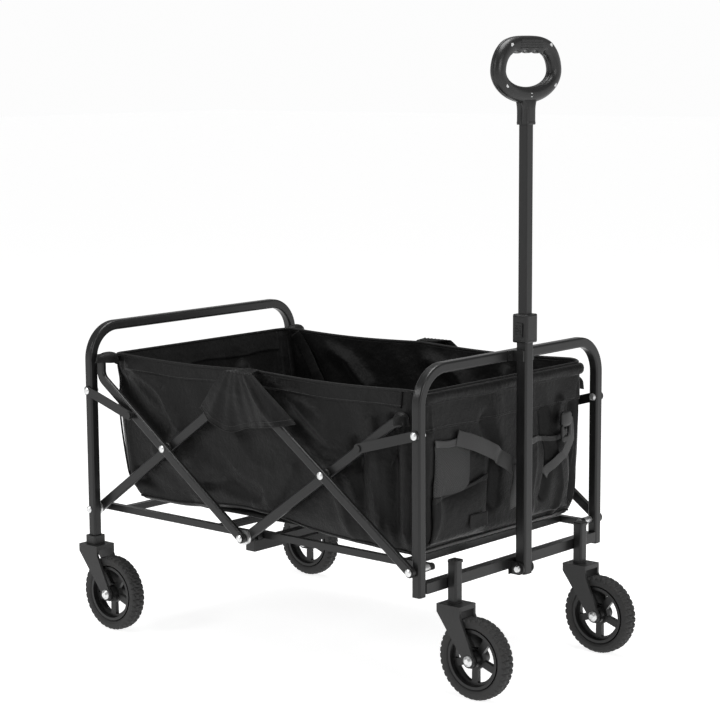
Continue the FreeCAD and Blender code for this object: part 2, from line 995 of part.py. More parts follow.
def axle(label, x, y):
    """An axle bolt across a fork, with a domed nut outside each cheek."""
    body = new_body(label)
    shank = D["axle_radius"]
    outside = D["fork_gap"] / 2 + D["fork_cheek"] + 0.1
    nut, height = D["nut_radius"], D["nut_height"]
    points = [
        (0, -outside - height),
        (nut * 0.5, -outside - height),
        (nut, -outside - height * 0.35),
        (nut, -outside),
        (shank, -outside),
        (shank, outside),
        (nut, outside),
        (nut, outside + height * 0.35),
        (nut * 0.5, outside + height),
        (0, outside + height),
    ]
    sketch = new_sketch(body, "XY_Plane")
    outline(sketch, points)
    revolve(body, sketch, "Y_Axis")
    place(body, x, y, D["wheel_radius"])
    return keep(body)


stem_x = front_x + half_tube + D["stem"] / 2
front_wheel_x = stem_x + D["front_trail"]
rear_wheel_x = rear_x + D["rear_trail"]
caps = []
for name, side in SIDES:
    rear_y = D["rear_half_width"] * side
    fork(f"rear_fork_{name}", rear_x, rear_y, D["rear_trail"], True)
    axle(f"rear_axle_{name}", rear_wheel_x, rear_y)
    rim(f"rear_rim_{name}", rear_wheel_x, rear_y)
    tyre(f"rear_tyre_{name}", rear_wheel_x, rear_y)
    front_y = D["caster_half"] * side
    fork(f"caster_fork_{name}", stem_x, front_y, D["front_trail"], False)
    axle(f"caster_axle_{name}", front_wheel_x, front_y)
    rim(f"front_rim_{name}", front_wheel_x, front_y)
    tyre(f"front_tyre_{name}", front_wheel_x, front_y)
    stem = new_body(f"caster_stem_{name}")
    half_stem = D["stem"] / 2
    sketch = new_sketch(stem, "XY_Plane")
    rounded(sketch, -half_stem, half_stem, -half_stem, half_stem, D["tube_corner"])
    pad(stem, sketch, D["stem_top"] - D["fork_top"] - 3.3, symmetric=False)
    bore = D["kingpin_radius"] + D["axle_play"]
    bore_sketch = circle(new_sketch(stem, "XY_Plane"), 0, 0, bore)
    pocket(stem, bore_sketch, D["stem_top"] - D["fork_top"] - 6, reverse=True)
    place(stem, stem_x, front_y, D["fork_top"] + 3.3)
    keep(stem)
    cap = new_body(f"caster_cap_{name}")
    half_cap = half_stem + 0.9
    sketch = new_sketch(cap, "XY_Plane")
    rounded(sketch, -half_cap, half_cap, -half_cap, half_cap, D["tube_corner"])
    pad(cap, sketch, D["cap_height"], symmetric=False)
    soften(cap, 2.0, lambda edge: edge.BoundBox.ZMin > SIZES["cap_height"] - 0.01)
    place(cap, stem_x + 0.95, front_y, D["stem_top"])
    caps.append(cap)
group("caster_caps", caps)


# ---------------------------------------------------------------- pull pole

pole_x = front_x + D["pole_stand"]
half_pole = D["pole_outer"] / 2
bar_face = front_x + half_tube

body = new_body("pole_bracket")
sketch = new_sketch(body, "XY_Plane")
back = bar_face - pole_x
ear_in = half_pole + D["ear_play"]
ear_out = ear_in + D["ear_thick"]
plate = 1.2
points = [
    (back, -ear_out - 5),
    (back + plate, -ear_out - 5),
    (back + plate, -ear_out),
    (0, -ear_out),
    (0, -ear_in),
    (back + plate, -ear_in),
    (back + plate, ear_in),
    (0, ear_in),
    (0, ear_out),
    (back + plate, ear_out),
    (back + plate, ear_out + 5),
    (back, ear_out + 5),
]
outline(sketch, points)
ear_radius = D["ear_radius"]
pad(body, sketch, (ear_radius - 2) * 2)
for name, side in SIDES:
    boss = new_sketch(body, "XZ_Plane", ear_in * -side)
    circle(boss, 0, 0, ear_radius - 2)
    pad(body, boss, D["ear_thick"], symmetric=False, reverse=side > 0)
    boss = new_sketch(body, "XZ_Plane", ear_out * -side)
    circle(boss, 0, 0, ear_radius - 5)
    pad(body, boss, 2.5, symmetric=False, reverse=side > 0)
pocket(body, circle(new_sketch(body, "XZ_Plane"), 0, 0, D["pin_radius"] + 1 + D["pin_play"]))
place(body, pole_x, 0, D["pole_pivot"])
keep(body)

body = new_body("pole_bolt")
shank = D["pin_radius"] + 1
boss_out = ear_out + 2.6
points = [(0, -boss_out - 3.5), (5, -boss_out - 3.5), (6, -boss_out), (shank, -boss_out)]
points += [(shank, boss_out), (6, boss_out), (5, boss_out + 3.5), (0, boss_out + 3.5)]
sketch = new_sketch(body, "XY_Plane")
outline(sketch, points)
revolve(body, sketch, "Y_Axis")
place(body, pole_x, 0, D["pole_pivot"])
keep(body)

body = new_body("pole_clip")
sketch = new_sketch(body, "XY_Plane")
arm_in = half_pole + 0.6
arm_out = arm_in + D["clip_arm"]
block = -half_pole - 0.6
points = [
    (back, -arm_out - 12),
    (back + 4, -arm_out - 12),
    (back + 4, -arm_out),
    (half_pole - 3, -arm_out),
    (half_pole - 3, -arm_in),
    (block, -arm_in),
    (block, arm_in),
    (half_pole - 3, arm_in),
    (half_pole - 3, arm_out),
    (back + 4, arm_out),
    (back + 4, arm_out + 12),
    (back, arm_out + 12),
]
outline(sketch, points)
pad(body, sketch, D["clip_high"] - D["clip_low"])
for side in (1, -1):
    screw = new_sketch(body, "YZ_Plane", back + 4)
    circle(screw, (arm_out + 6.5) * side, 0, 3.6)
    pad(body, screw, 1.8, symmetric=False)
place(body, pole_x, 0, (D["clip_low"] + D["clip_high"]) / 2)
keep(body)

body = new_body("pole_lower_tube")
sketch = new_sketch(body, "XY_Plane")
rounded(sketch, -half_pole, half_pole, -half_pole, half_pole, D["tube_corner"])
inner = half_pole - D["pole_wall"]
rounded(sketch, -inner, inner, -inner, inner, D["tube_corner"] - D["pole_wall"])
pad(body, sketch, D["pole_joint"] - D["pole_foot"], symmetric=False)
hole = circle(
    new_sketch(body, "XZ_Plane"),
    0,
    D["pole_pivot"] - D["pole_foot"],
    shank + D["pin_play"],
)
pocket(body, hole)
place(body, pole_x, 0, D["pole_foot"])
keep(body)

body = new_body("pole_upper_tube")
sketch = new_sketch(body, "XY_Plane")
slide = inner - D["pole_play"]
rounded(sketch, -slide, slide, -slide, slide, 2.2)
pad(body, sketch, D["inner_top"] - D["inner_foot"], symmetric=False)
place(body, pole_x, 0, D["inner_foot"])
keep(body)

body = new_body("pole_collar")
half_y = D["collar_width"] / 2
half_x = D["collar_depth"] / 2
collar_height = D["collar_high"] - D["collar_low"]
sketch = new_sketch(body, "XY_Plane")
rounded(sketch, -half_x, half_x, -half_y, half_y, 5)
pad(body, sketch, collar_height, symmetric=False)
edge_level = SIZES["collar_high"] - SIZES["collar_low"]
soften(
    body,
    2.5,
    lambda edge: edge.BoundBox.ZMin > edge_level - 0.01 or edge.BoundBox.ZMax < 0.01,
)
around_tube = half_pole + 0.1
step = D["pole_joint"] - D["collar_low"]
sketch = new_sketch(body, "XY_Plane")
rounded(sketch, -around_tube, around_tube, -around_tube, around_tube, 4)
pocket(body, sketch, step + 0.1, reverse=True)
sketch = new_sketch(body, "XY_Plane")
slot = slide + 0.2
rounded(sketch, -slot, slot, -slot, slot, 2.2)
pocket(body, sketch)
button_mid = collar_height * 0.46
recess = D["button_travel"] + 2.0
sketch = new_sketch(body, "XZ_Plane", half_y - recess)
wide, tall = D["button_width"] / 2 + 0.3, D["button_height"] / 2 + 0.3
rounded(sketch, -wide, wide, button_mid - tall, button_mid + tall, 2.3)
pocket(body, sketch, recess + 1, reverse=True)
place(body, pole_x, 0, D["collar_low"])
keep(body)

body = new_body("pole_button")
sketch = new_sketch(body, "XZ_Plane")
wide, tall = D["button_width"] / 2, D["button_height"] / 2
rounded(sketch, -wide, wide, -tall, tall, 2)
thick = D["button_proud"] + 1.6
pad(body, sketch, thick, symmetric=False)
for number in range(4):
    groove = new_sketch(body, "XZ_Plane", thick - 0.9)
    at = tall * (-0.6 + 0.4 * number)
    rectangle(groove, -wide + 1.5, wide - 1.5, at - 0.8, at + 0.8)
    pocket(body, groove, 2, reverse=True)
place(body, pole_x, D["button_proud"] + thick * -1 - (half_y - thick), D["collar_low"] + button_mid)
bind(body, "Placement.Base.y", thick - half_y - D["button_proud"])
keep(body)


# ---------------------------------------------------------------- grip


def grip_shell(label, facing):
    """One half of the loop grip, with its neck on the pole's top."""
    body = new_body(label)
    low, top = D["ring_low"], D["ring_top"]
    half, corner, neck = D["ring_half"], D["ring_corner"], D["neck_half"]
    offset = D["seam"] * facing
    sketch = new_sketch(body, "YZ_Plane", offset)
    points = [
        (-neck, D["neck_low"]),
        (neck, D["neck_low"]),
        (neck, low),
        (half - corner, low),
        (half, low + corner),
        (half, top - corner),
        (half - corner, top),
        (corner - half, top),
        (-half, top - corner),
        (-half, low + corner),
        (corner - half, low),
        (-neck, low),
    ]
    outline(sketch, points, {i: (corner, False) for i in (3, 5, 7, 9)})
    depth = D["grip_half_depth"] - D["seam"]
    pad(body, sketch, depth, symmetric=False, reverse=facing < 0)
    outer_face = facing * SIZES["grip_half_depth"]
    soften(
        body,
        5.5,
        lambda edge: abs(edge.BoundBox.XMin - outer_face) < 0.01
        and edge.BoundBox.XLength < 0.01
        and not (spread(edge)[2] < 0.01 and edge.BoundBox.ZMax < SIZES["neck_low"] + 1),
    )
    window = new_sketch(body, "YZ_Plane", offset)
    bottom, head = D["hole_low"], D["hole_top"]
    wide, turn_in, wave = D["hole_half"], D["hole_corner"], D["finger_wave"]
    flat = wide - turn_in
    quarter = flat / 2
    bulge = (quarter * quarter / 4 + wave * wave) / (wave * 2)
    points = [
        (-flat, bottom),
        (flat, bottom),
        (wide, bottom + turn_in),
        (wide, head - turn_in),
        (flat, head),
        (quarter, head),
        (dim(0), head),
        (-quarter, head),
        (-flat, head),
        (-wide, head - turn_in),
        (-wide, bottom + turn_in),
    ]
    arcs = {1: (turn_in, False), 3: (turn_in, False), 8: (turn_in, False), 10: (turn_in, False)}
    arcs.update({i: (bulge, False) for i in (4, 5, 6, 7)})
    outline(window, points, arcs)
    pocket(body, window, depth + 1, reverse=facing > 0)
    bore = new_sketch(body, "XY_Plane", D["neck_low"])
    room = slide + 0.1
    rectangle(bore, -room, room, -room, room)
    pocket(body, bore, D["inner_top"] - D["neck_low"] + 0.5, reverse=True)
    if facing > 0:
        for y, z in screw_spots():
            spot = new_sketch(body, "YZ_Plane", D["grip_half_depth"] - 1.6)
            circle(spot, y, z, D["grip_screw"] + 0.3)
            pocket(body, spot, 3, reverse=True)
    place(body, pole_x, 0, 0)
    return keep(body)


def screw_spots():
    """Where the screws sit on the grip's front face."""
    top, low = D["ring_top"] - D["screw_top_drop"], D["ring_low"] + D["screw_low_rise"]
    return [
        (-D["screw_low_out"], low),
        (D["screw_low_out"], low),
        (-D["screw_top_out"], top),
        (D["screw_top_out"], top),
        (dim(0), (D["ring_low"] + D["hole_low"]) / 2),
        (dim(0), D["neck_low"] + D["screw_neck_rise"]),
    ]


grip_shell("grip_front", 1)
grip_shell("grip_rear", -1)

screws = []
for number, (y, z) in enumerate(screw_spots()):
    screw = doc.addObject("Part::Cylinder", f"grip_screw_{number}")
    screw.Label = f"grip_screw_{number}"
    bind(screw, "Radius", D["grip_screw"])
    bind(screw, "Height", 1.5)
    place(
        screw,
        pole_x + D["grip_half_depth"] - 1.6,
        y,
        z,
        (0, 1, 0),
        turn(90),
    )
    screws.append(screw)
group("grip_screws", screws)


# ---------------------------------------------------------------- cloth tub stand-ins

cloth = D["cloth"]
rim_level, tub_floor = D["rim_level"], D["tub_floor"]
front_rim = front_x - D["tub_front_inset"]
front_low = front_rim - D["tub_front_slant"]
rear_rim = rear_x + D["tub_rear_inset"]
rear_low = rear_rim + D["tub_rear_slant"]
wall_in = D["tub_half"] - cloth


def wall_across(label, rim_x, low_x, thick):
    """An end wall of the tub, leaning between its rim and the floor."""
    body = new_body(label)
    sketch = new_sketch(body, "XZ_Plane")
    points = [(low_x, tub_floor), (low_x + thick, tub_floor)]
    points += [(rim_x + thick, rim_level), (rim_x, rim_level)]
    if thick.value < 0:
        points = points[::-1]
    outline(sketch, points)
    pad(body, sketch, (wall_in - 0.3) * 2)
    return keep(body)


wall_across("basket_front", front_rim, front_low, -cloth)
wall_across("basket_rear", rear_rim, rear_low, cloth)
side_walls = []
flaps = []
for name, side in SIDES:
    wall = new_body(f"basket_side_{name}")
    sketch = new_sketch(wall, "XZ_Plane", wall_in * -side)
    points = [(rear_low, tub_floor), (front_low, tub_floor)]
    points += [(front_rim, rim_level), (rear_rim, rim_level)]
    outline(sketch, points)
    pad(wall, sketch, cloth, symmetric=False, reverse=side > 0)
    keep(wall)
    flap = new_body(f"hub_flap_{name}")
    sketch = new_sketch(flap, "YZ_Plane")
    near = wall_in + 0.5
    out = outer_high + D["head_height"] + D["flap_gap"]
    hem = rim_level - D["flap_drop"]
    points = [
        (near, rim_level + 0.5),
        (out, rim_level + 0.5),
        (out, hem),
        (out + D["flap_cloth"], hem),
        (out + D["flap_cloth"], rim_level + 0.5 + D["flap_cloth"]),
        (near, rim_level + 0.5 + D["flap_cloth"]),
    ]
    points = [(y * side, z) for y, z in points]
    outline(sketch, points)
    pad(flap, sketch, D["flap_width"])
    place(flap, mid_x + D["flap_forward"], 0, 0)
    flaps.append(flap)
group("hub_flaps", flaps)
box(
    "basket_floor",
    rear_low + cloth + 0.3,
    front_low - cloth - 0.3,
    -wall_in + 0.3,
    wall_in - 0.3,
    tub_floor,
    tub_floor + 5,
)
keep(doc.getObject("basket_floor"))

doc.recompute()

for item in doc.Objects:
    if {"Invalid", "Error"} & set(item.State):
        raise RuntimeError(f"{item.Name} ({item.Label}) failed: {item.State}")
for item in parts:
    if item.Shape.isNull() or not item.Shape.isValid():
        raise RuntimeError(f"{item.Label} has no valid shape")

os.makedirs("parts", exist_ok=True)
for item in parts:
    item.Shape.exportStep(f"parts/{item.Label}.step")
print(f"{len(parts)} parts written")
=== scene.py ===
"""Folding utility wagon with a pull handle: cloth, tread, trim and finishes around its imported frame.

Lengths are metres: +X points to the handle, +Y to the left, +Z up.
"""

from __future__ import annotations

import json
import logging
import math
from dataclasses import dataclass, field
from enum import Enum
from typing import Any, Sequence

import bmesh
import bpy
import numpy as np
from mathutils import Matrix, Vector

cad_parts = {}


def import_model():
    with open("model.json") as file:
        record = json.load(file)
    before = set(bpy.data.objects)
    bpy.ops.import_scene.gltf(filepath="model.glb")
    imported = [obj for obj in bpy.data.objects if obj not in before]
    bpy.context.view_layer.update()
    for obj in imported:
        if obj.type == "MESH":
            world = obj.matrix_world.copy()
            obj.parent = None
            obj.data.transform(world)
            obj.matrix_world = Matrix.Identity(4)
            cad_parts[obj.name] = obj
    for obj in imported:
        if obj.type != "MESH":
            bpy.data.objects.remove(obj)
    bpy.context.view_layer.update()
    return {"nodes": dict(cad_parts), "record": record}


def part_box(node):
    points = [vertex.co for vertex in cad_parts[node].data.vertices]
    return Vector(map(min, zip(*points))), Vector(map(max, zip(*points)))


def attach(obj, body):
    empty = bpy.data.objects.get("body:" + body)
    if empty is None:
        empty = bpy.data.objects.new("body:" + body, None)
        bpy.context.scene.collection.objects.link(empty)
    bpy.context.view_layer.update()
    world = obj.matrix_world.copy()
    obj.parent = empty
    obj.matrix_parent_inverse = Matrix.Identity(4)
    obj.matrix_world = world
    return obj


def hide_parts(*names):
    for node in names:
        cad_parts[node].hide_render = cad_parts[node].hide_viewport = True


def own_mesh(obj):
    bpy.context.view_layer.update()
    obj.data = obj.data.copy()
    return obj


LOG = logging.getLogger("wagon")


class Wall(Enum):
    """The four walls of the tub, in order round the rim."""

    REAR = 0
    RIGHT = 1
    FRONT = 2
    LEFT = 3


class Slot(Enum):
    """Finish slots of the record."""

    FRAME = "frame_paint"
    PLASTIC = "black_plastic"
    FORK = "fork_plastic"
    WHEEL = "wheel_plastic"
    TYRE = "tyre"
    ZINC = "zinc"
    CLOTH = "cloth"


# ------------------------------------------------------------------ shader building


class Field:
    """One output socket of a material, with its arithmetic written as Python."""

    def __init__(self, recipe: "Recipe", socket: bpy.types.NodeSocket) -> None:
        """Keeps the socket.

        Args:
            recipe: material that the socket belongs to.
            socket: output to read.
        """
        self.recipe = recipe
        self.socket = socket

    def _maths(self, operation: str, *values: "Field | float") -> "Field":
        """Adds one Math node.

        Args:
            operation: Blender's name for it.
            values: its inputs, in order.

        Returns:
            The node's output.
        """
        return self.recipe.node("ShaderNodeMath", {"operation": operation}, dict(enumerate(values)))

    def __add__(self, other: "Field | float") -> "Field":
        """Sum."""
        return self._maths("ADD", self, other)

    def __radd__(self, other: float) -> "Field":
        """Sum, reflected."""
        return self._maths("ADD", other, self)

    def __sub__(self, other: "Field | float") -> "Field":
        """Difference."""
        return self._maths("SUBTRACT", self, other)

    def __rsub__(self, other: float) -> "Field":
        """Difference, reflected."""
        return self._maths("SUBTRACT", other, self)

    def __mul__(self, other: "Field | float") -> "Field":
        """Product."""
        return self._maths("MULTIPLY", self, other)

    def __rmul__(self, other: float) -> "Field":
        """Product, reflected."""
        return self._maths("MULTIPLY", other, self)

    def sine(self) -> "Field":
        """Sine of the value."""
        return self._maths("SINE", self)

    def power(self, exponent: float) -> "Field":
        """Value raised to a power."""
        return self._maths("POWER", self, exponent)

    def larger(self, other: "Field | float") -> "Field":
        """The larger of two values."""
        return self._maths("MAXIMUM", self, other)

    def clipped(self) -> "Field":
        """Value kept between 0 and 1."""
        return self._maths("MAXIMUM", self._maths("MINIMUM", self, 1.0), 0.0)


class Recipe:
    """A material under construction."""

    def __init__(self, name: str) -> None:
        """Starts an empty material.

        Args:
            name: material name.
        """
        self.material = bpy.data.materials.new(name)
        self.material.use_nodes = True
        self.tree = self.material.node_tree
        self.tree.nodes.clear()

    def node(
        self,
        kind: str,
        settings: dict[str, Any] | None = None,
        inputs: dict[int | str, Any] | None = None,
        output: int | str = 0,
    ) -> Field:
        """Adds a node, sets it up, then links or sets its inputs.

        Args:
            kind: node type.
            settings: attributes to set first; "stops" holds a ramp's (place, grey) pairs.
            inputs: socket to value or Field.
            output: socket to hand back.

        Returns:
            The chosen output.
        """
        node = self.tree.nodes.new(kind)
        for key, value in (settings or {}).items():
            if key == "stops":
                elements = node.color_ramp.elements
                while len(elements) < len(value):
                    elements.new(0.5)
                for element, (place, grey) in zip(elements, value):
                    element.position = place
                    element.color = (grey, grey, grey, 1.0)
            else:
                setattr(node, key, value)
        for key, value in (inputs or {}).items():
            if isinstance(value, Field):
                self.tree.links.new(value.socket, node.inputs[key])
            else:
                node.inputs[key].default_value = value
        return Field(self, node.outputs[output]) if len(node.outputs) else Field(self, None)

    def place(self) -> Field:
        """Position on the object, in metres."""
        return self.node("ShaderNodeTexCoord", output="Object")

    def cloth_place(self) -> tuple[Field, Field]:
        """The two distances along a cloth's warp and weft, in metres."""
        uv = self.node("ShaderNodeTexCoord", output="UV")
        split = self.node("ShaderNodeSeparateXYZ", inputs={0: uv})
        along = split
        across = Field(self, split.socket.node.outputs[1])
        return along, across

    def noise(self, vector: Field, scale: float, detail: float = 3.0, rough: float = 0.55) -> Field:
        """Noise of about 0 to 1.

        Args:
            vector: position.
            scale: cells per metre.
            detail: octaves.
            rough: strength of each finer octave.

        Returns:
            The noise value.
        """
        inputs = {"Vector": vector, "Scale": scale, "Detail": detail, "Roughness": rough}
        return self.node("ShaderNodeTexNoise", {"noise_dimensions": "3D"}, inputs)

    def stretch(self, vector: Field, scale: tuple[float, float, float]) -> Field:
        """Position with each axis scaled."""
        return self.node("ShaderNodeMapping", inputs={"Vector": vector, "Scale": scale})

    def ramp(self, value: Field, stops: Sequence[tuple[float, float]]) -> Field:
        """Grey ramp through the given (place, grey) stops."""
        return self.node("ShaderNodeValToRGB", {"stops": list(stops)}, {0: value})

    def blend(self, share: Field | float, low: Any, high: Any) -> Field:
        """Colour mixed from low to high by share."""
        inputs = {0: share, 6: low, 7: high}
        return self.node("ShaderNodeMix", {"data_type": "RGBA"}, inputs, 2)

    def bump(
        self, height: Field, distance: float, strength: float = 1.0, under: Field | None = None
    ) -> Field:
        """Normal of a height field.

        Args:
            height: value from 0 to 1.
            distance: metres that 1 stands for.
            strength: share of the effect.
            under: normal to add to.

        Returns:
            The bumped normal.
        """
        inputs: dict[int | str, Any] = {"Height": height, "Distance": distance, "Strength": strength}
        if under is not None:
            inputs["Normal"] = under
        return self.node("ShaderNodeBump", inputs=inputs)

    def finish(self, **inputs: Any) -> bpy.types.Material:
        """Adds the shader and the output.

        Args:
            inputs: the shader's sockets, with underscores for spaces.

        Returns:
            The finished material.
        """
        named = {key.replace("_", " "): value for key, value in inputs.items()}
        shader = self.node("ShaderNodeBsdfPrincipled", inputs=named)
        self.node("ShaderNodeOutputMaterial", inputs={"Surface": shader})
        return self.material


def grey(value: float, warm: float = 0.0) -> tuple[float, float, float, float]:
    """Linear grey, a little warmer or cooler."""
    return (value * (1 + warm), value, value * (1 - warm), 1.0)


@dataclass(frozen=True)
class PaintedSteel:
    """Satin powder coat: fine orange peel, rubbed spots and a little dust."""

    name: str = "satin_powder_coat"
    shade: float = 0.0115
    roughness: float = 0.31

    def build(self) -> bpy.types.Material:
        """Makes the material."""
        r = Recipe(self.name)
        place = r.place()
        peel = r.noise(place, 900.0, 2.0)
        scuff = r.noise(r.stretch(place, (1.0, 1.0, 0.25)), 60.0, 5.0, 0.7)
        marks = r.ramp(scuff, ((0.56, 0.0), (0.72, 1.0)))
        cloud = r.noise(place, 9.0, 3.0)
        base = r.blend(cloud, grey(self.shade * 0.82), grey(self.shade * 1.2, -0.01))
        colour = r.blend(marks * 0.35, base, grey(self.shade * 2.1))
        rough = self.roughness + 0.14 * cloud - 0.07 + 0.12 * marks
        normal = r.bump(scuff, 0.00012, 0.5, r.bump(peel, 0.00009, 0.7))
        return r.finish(Base_Color=colour, Roughness=rough, Normal=normal, Specular_IOR_Level=0.31)


@dataclass(frozen=True)
class MouldedPlastic:
    """Spark-textured moulded plastic with flow marks and lighter rubbed places."""

    name: str
    shade: float
    roughness: float
    grain: float = 1500.0
    depth: float = 0.00010

    def build(self) -> bpy.types.Material:
        """Makes the material."""
        r = Recipe(self.name)
        place = r.place()
        grain = r.noise(place, self.grain, 2.0, 0.6)
        flow = r.noise(r.stretch(place, (1.0, 2.2, 1.0)), 22.0, 4.0, 0.6)
        rubbed = r.ramp(r.noise(place, 130.0, 5.0, 0.72), ((0.60, 0.0), (0.74, 1.0)))
        base = r.blend(flow, grey(self.shade * 0.8), grey(self.shade * 1.25))
        colour = r.blend(rubbed * 0.4, base, grey(self.shade * 2.4, 0.02))
        rough = self.roughness + 0.16 * flow - 0.08 + 0.10 * rubbed
        normal = r.bump(flow, 0.0002, 0.3, r.bump(grain, self.depth, 0.8))
        return r.finish(Base_Color=colour, Roughness=rough, Normal=normal, Specular_IOR_Level=0.33)


@dataclass(frozen=True)
class TyreRubber:
    """Matt rubber with a dusty bloom in noise patches."""

    name: str = "tyre_rubber"
    shade: float = 0.016

    def build(self) -> bpy.types.Material:
        """Makes the material."""
        r = Recipe(self.name)
        place = r.place()
        pores = r.noise(place, 1100.0, 3.0, 0.7)
        bloom = r.noise(place, 38.0, 5.0, 0.65)
        dust = r.ramp(bloom, ((0.45, 0.0), (0.75, 1.0)))
        colour = r.blend(dust * 0.55, grey(self.shade), grey(self.shade * 2.3, 0.05))
        rough = 0.62 + 0.22 * dust
        normal = r.bump(bloom, 0.0004, 0.25, r.bump(pores, 0.00014, 0.8))
        return r.finish(Base_Color=colour, Roughness=rough, Normal=normal, Specular_IOR_Level=0.4)


@dataclass(frozen=True)
class ZincPlate:
    """Bright zinc with faint tumbling scratches and duller crystals."""

    name: str = "zinc_plate"

    def build(self) -> bpy.types.Material:
        """Makes the material."""
        r = Recipe(self.name)
        place = r.place()
        crystals = r.noise(place, 420.0, 4.0, 0.6)
        scratches = r.noise(r.stretch(place, (1.0, 0.2, 6.0)), 700.0, 3.0, 0.6)
        colour = r.blend(crystals, (0.56, 0.57, 0.58, 1.0), (0.80, 0.80, 0.79, 1.0))
        rough = 0.24 + 0.22 * crystals
        normal = r.bump(scratches, 0.00006, 0.6)
        return r.finish(Base_Color=colour, Metallic=0.9, Roughness=rough, Normal=normal)


@dataclass(frozen=True)
class WovenPolyester:
    """Plain-woven black polyester: crossing threads, slubs, crinkles, a little shader sheen, and painted
    highlights on the thread crests in broad noise patches.
    """

    name: str = "woven_polyester"
    shade: float = 0.0040
    pitch: float = 0.0011
    roughness: float = 0.42
    sheen: float = 0.04

    def build(self) -> bpy.types.Material:
        """Makes the material; a thread's height is a sine across it that alternates with its neighbour."""
        r = Recipe(self.name)
        along, across = r.cloth_place()
        place = r.place()
        turns = 2 * math.pi / self.pitch
        weave = (along * turns).sine() * (across * turns).sine()
        threads = 0.5 + 0.5 * weave
        slub = r.noise(r.stretch(place, (1.0, 1.0, 0.35)), 320.0, 4.0, 0.6)
        crinkle = r.noise(place, 46.0, 5.0, 0.62)
        painted_sheen_and_wear = r.noise(place, 7.0, 3.0, 0.5)
        base = r.blend(slub, grey(self.shade * 0.70), grey(self.shade * 1.40, 0.015))
        # painted highlight: thread crests made lighter in broad noise patches, standing in for shine; the
        # same noise also varies the roughness
        colour = r.blend((threads * painted_sheen_and_wear * 0.35).clipped(), base, grey(self.shade * 2.2, 0.01))
        rough = self.roughness + 0.16 * painted_sheen_and_wear - 0.08 + 0.08 * threads
        soft = r.bump(crinkle, 0.0040, 0.75)
        normal = r.bump(threads * 0.7 + slub * 0.3, 0.00016, 0.5, soft)
        return r.finish(
            Base_Color=colour,
            Roughness=rough,
            Normal=normal,
            Specular_IOR_Level=0.15,
            Sheen_Weight=self.sheen,
            Sheen_Roughness=0.45,
        )


@dataclass(frozen=True)
class PocketNet:
    """Knitted netting: rows of small holes, each row shifted by half a hole."""

    name: str = "pocket_net"
    hole: float = 0.0046

    def build(self) -> bpy.types.Material:
        """Makes the material; a hole is where two crossed diagonal waves are both low."""
        r = Recipe(self.name)
        along, across = r.cloth_place()
        turns = math.pi / self.hole
        one = ((along + across) * turns).sine()
        two = ((along - across) * turns).sine()
        mesh = (one * one).larger(two * two).power(1.4)
        fuzz = r.noise(r.place(), 800.0, 3.0, 0.7)
        colour = r.blend(mesh, grey(0.004), r.blend(fuzz, grey(0.016), grey(0.036)))
        rough = 0.60 + 0.2 * fuzz
        normal = r.bump(mesh, 0.0007, 0.9, r.bump(fuzz, 0.0001, 0.6))
        return r.finish(Base_Color=colour, Roughness=rough, Normal=normal)


@dataclass(frozen=True)
class RibbedWebbing:
    """Nylon webbing: lengthwise ribs, each of slanting picks."""

    name: str = "ribbed_webbing"
    shade: float = 0.017
    rib: float = 0.0019

    def build(self) -> bpy.types.Material:
        """Makes the material; a pick is a wave that runs along the rib and starts later at each rib."""
        r = Recipe(self.name)
        along, across = r.cloth_place()
        ribs = (across * (2 * math.pi / self.rib)).sine()
        picks = ((along + across * 0.8) * (2 * math.pi / 0.0022)).sine()
        height = 0.5 + 0.3 * ribs + 0.2 * picks
        fuzz = r.noise(r.place(), 600.0, 4.0, 0.65)
        # painted shade and highlight: colour darker in the grooves and lighter on the rib and pick crests,
        # following the bump height, times random fuzz tone
        colour = r.blend(height * fuzz, grey(self.shade * 0.45), grey(self.shade * 2.0, 0.01))
        rough = 0.5 + 0.2 * fuzz
        normal = r.bump(height, 0.0003, 0.7, r.bump(fuzz, 0.0001, 0.5))
        return r.finish(Base_Color=colour, Roughness=rough, Normal=normal, Sheen_Weight=0.12)


@dataclass(frozen=True)
class SewingThread:
    """Twisted bonded thread."""

    name: str = "sewing_thread"

    def build(self) -> bpy.types.Material:
        """Makes the material."""
        r = Recipe(self.name)
        place = r.place()
        twist = r.noise(r.stretch(place, (1.0, 1.0, 3.0)), 1600.0, 2.0)
        colour = r.blend(twist, grey(0.010), grey(0.032, 0.01))
        rough = 0.42 + 0.2 * twist
        return r.finish(Base_Color=colour, Roughness=rough, Normal=r.bump(twist, 0.0001, 0.8))


@dataclass(frozen=True)
class StudioFloor:
    """Pale matt sweep."""

    name: str = "studio_sweep"
    glow: float = 0.86

    def build(self) -> bpy.types.Material:
        """Makes the material."""
        r = Recipe(self.name)
        cloud = r.noise(r.place(), 1.5, 2.0)
        colour = r.blend(cloud, grey(0.44), grey(0.46))
        return r.finish(
            Base_Color=colour,
            Roughness=0.9,
            Specular_IOR_Level=0.05,
            Emission_Color=grey(1.0),
            Emission_Strength=self.glow,
        )


# ------------------------------------------------------------------ mesh building


def unit(vectors: np.ndarray) -> np.ndarray:
    """Vectors divided by their lengths."""
    return vectors / np.maximum(np.linalg.norm(vectors, axis=-1, keepdims=True), 1e-12)


def squared(wave: np.ndarray, power: float | np.ndarray) -> np.ndarray:
    """A sine or cosine raised to a power with its sign kept: below 1 it squares a circle off."""
    return np.sign(wave) * np.abs(wave) ** power


def outward_rows(out: np.ndarray) -> np.ndarray:
    """Level outward directions as three columns."""
    return np.concatenate([out, np.zeros((*out.shape[:-1], 1))], -1)


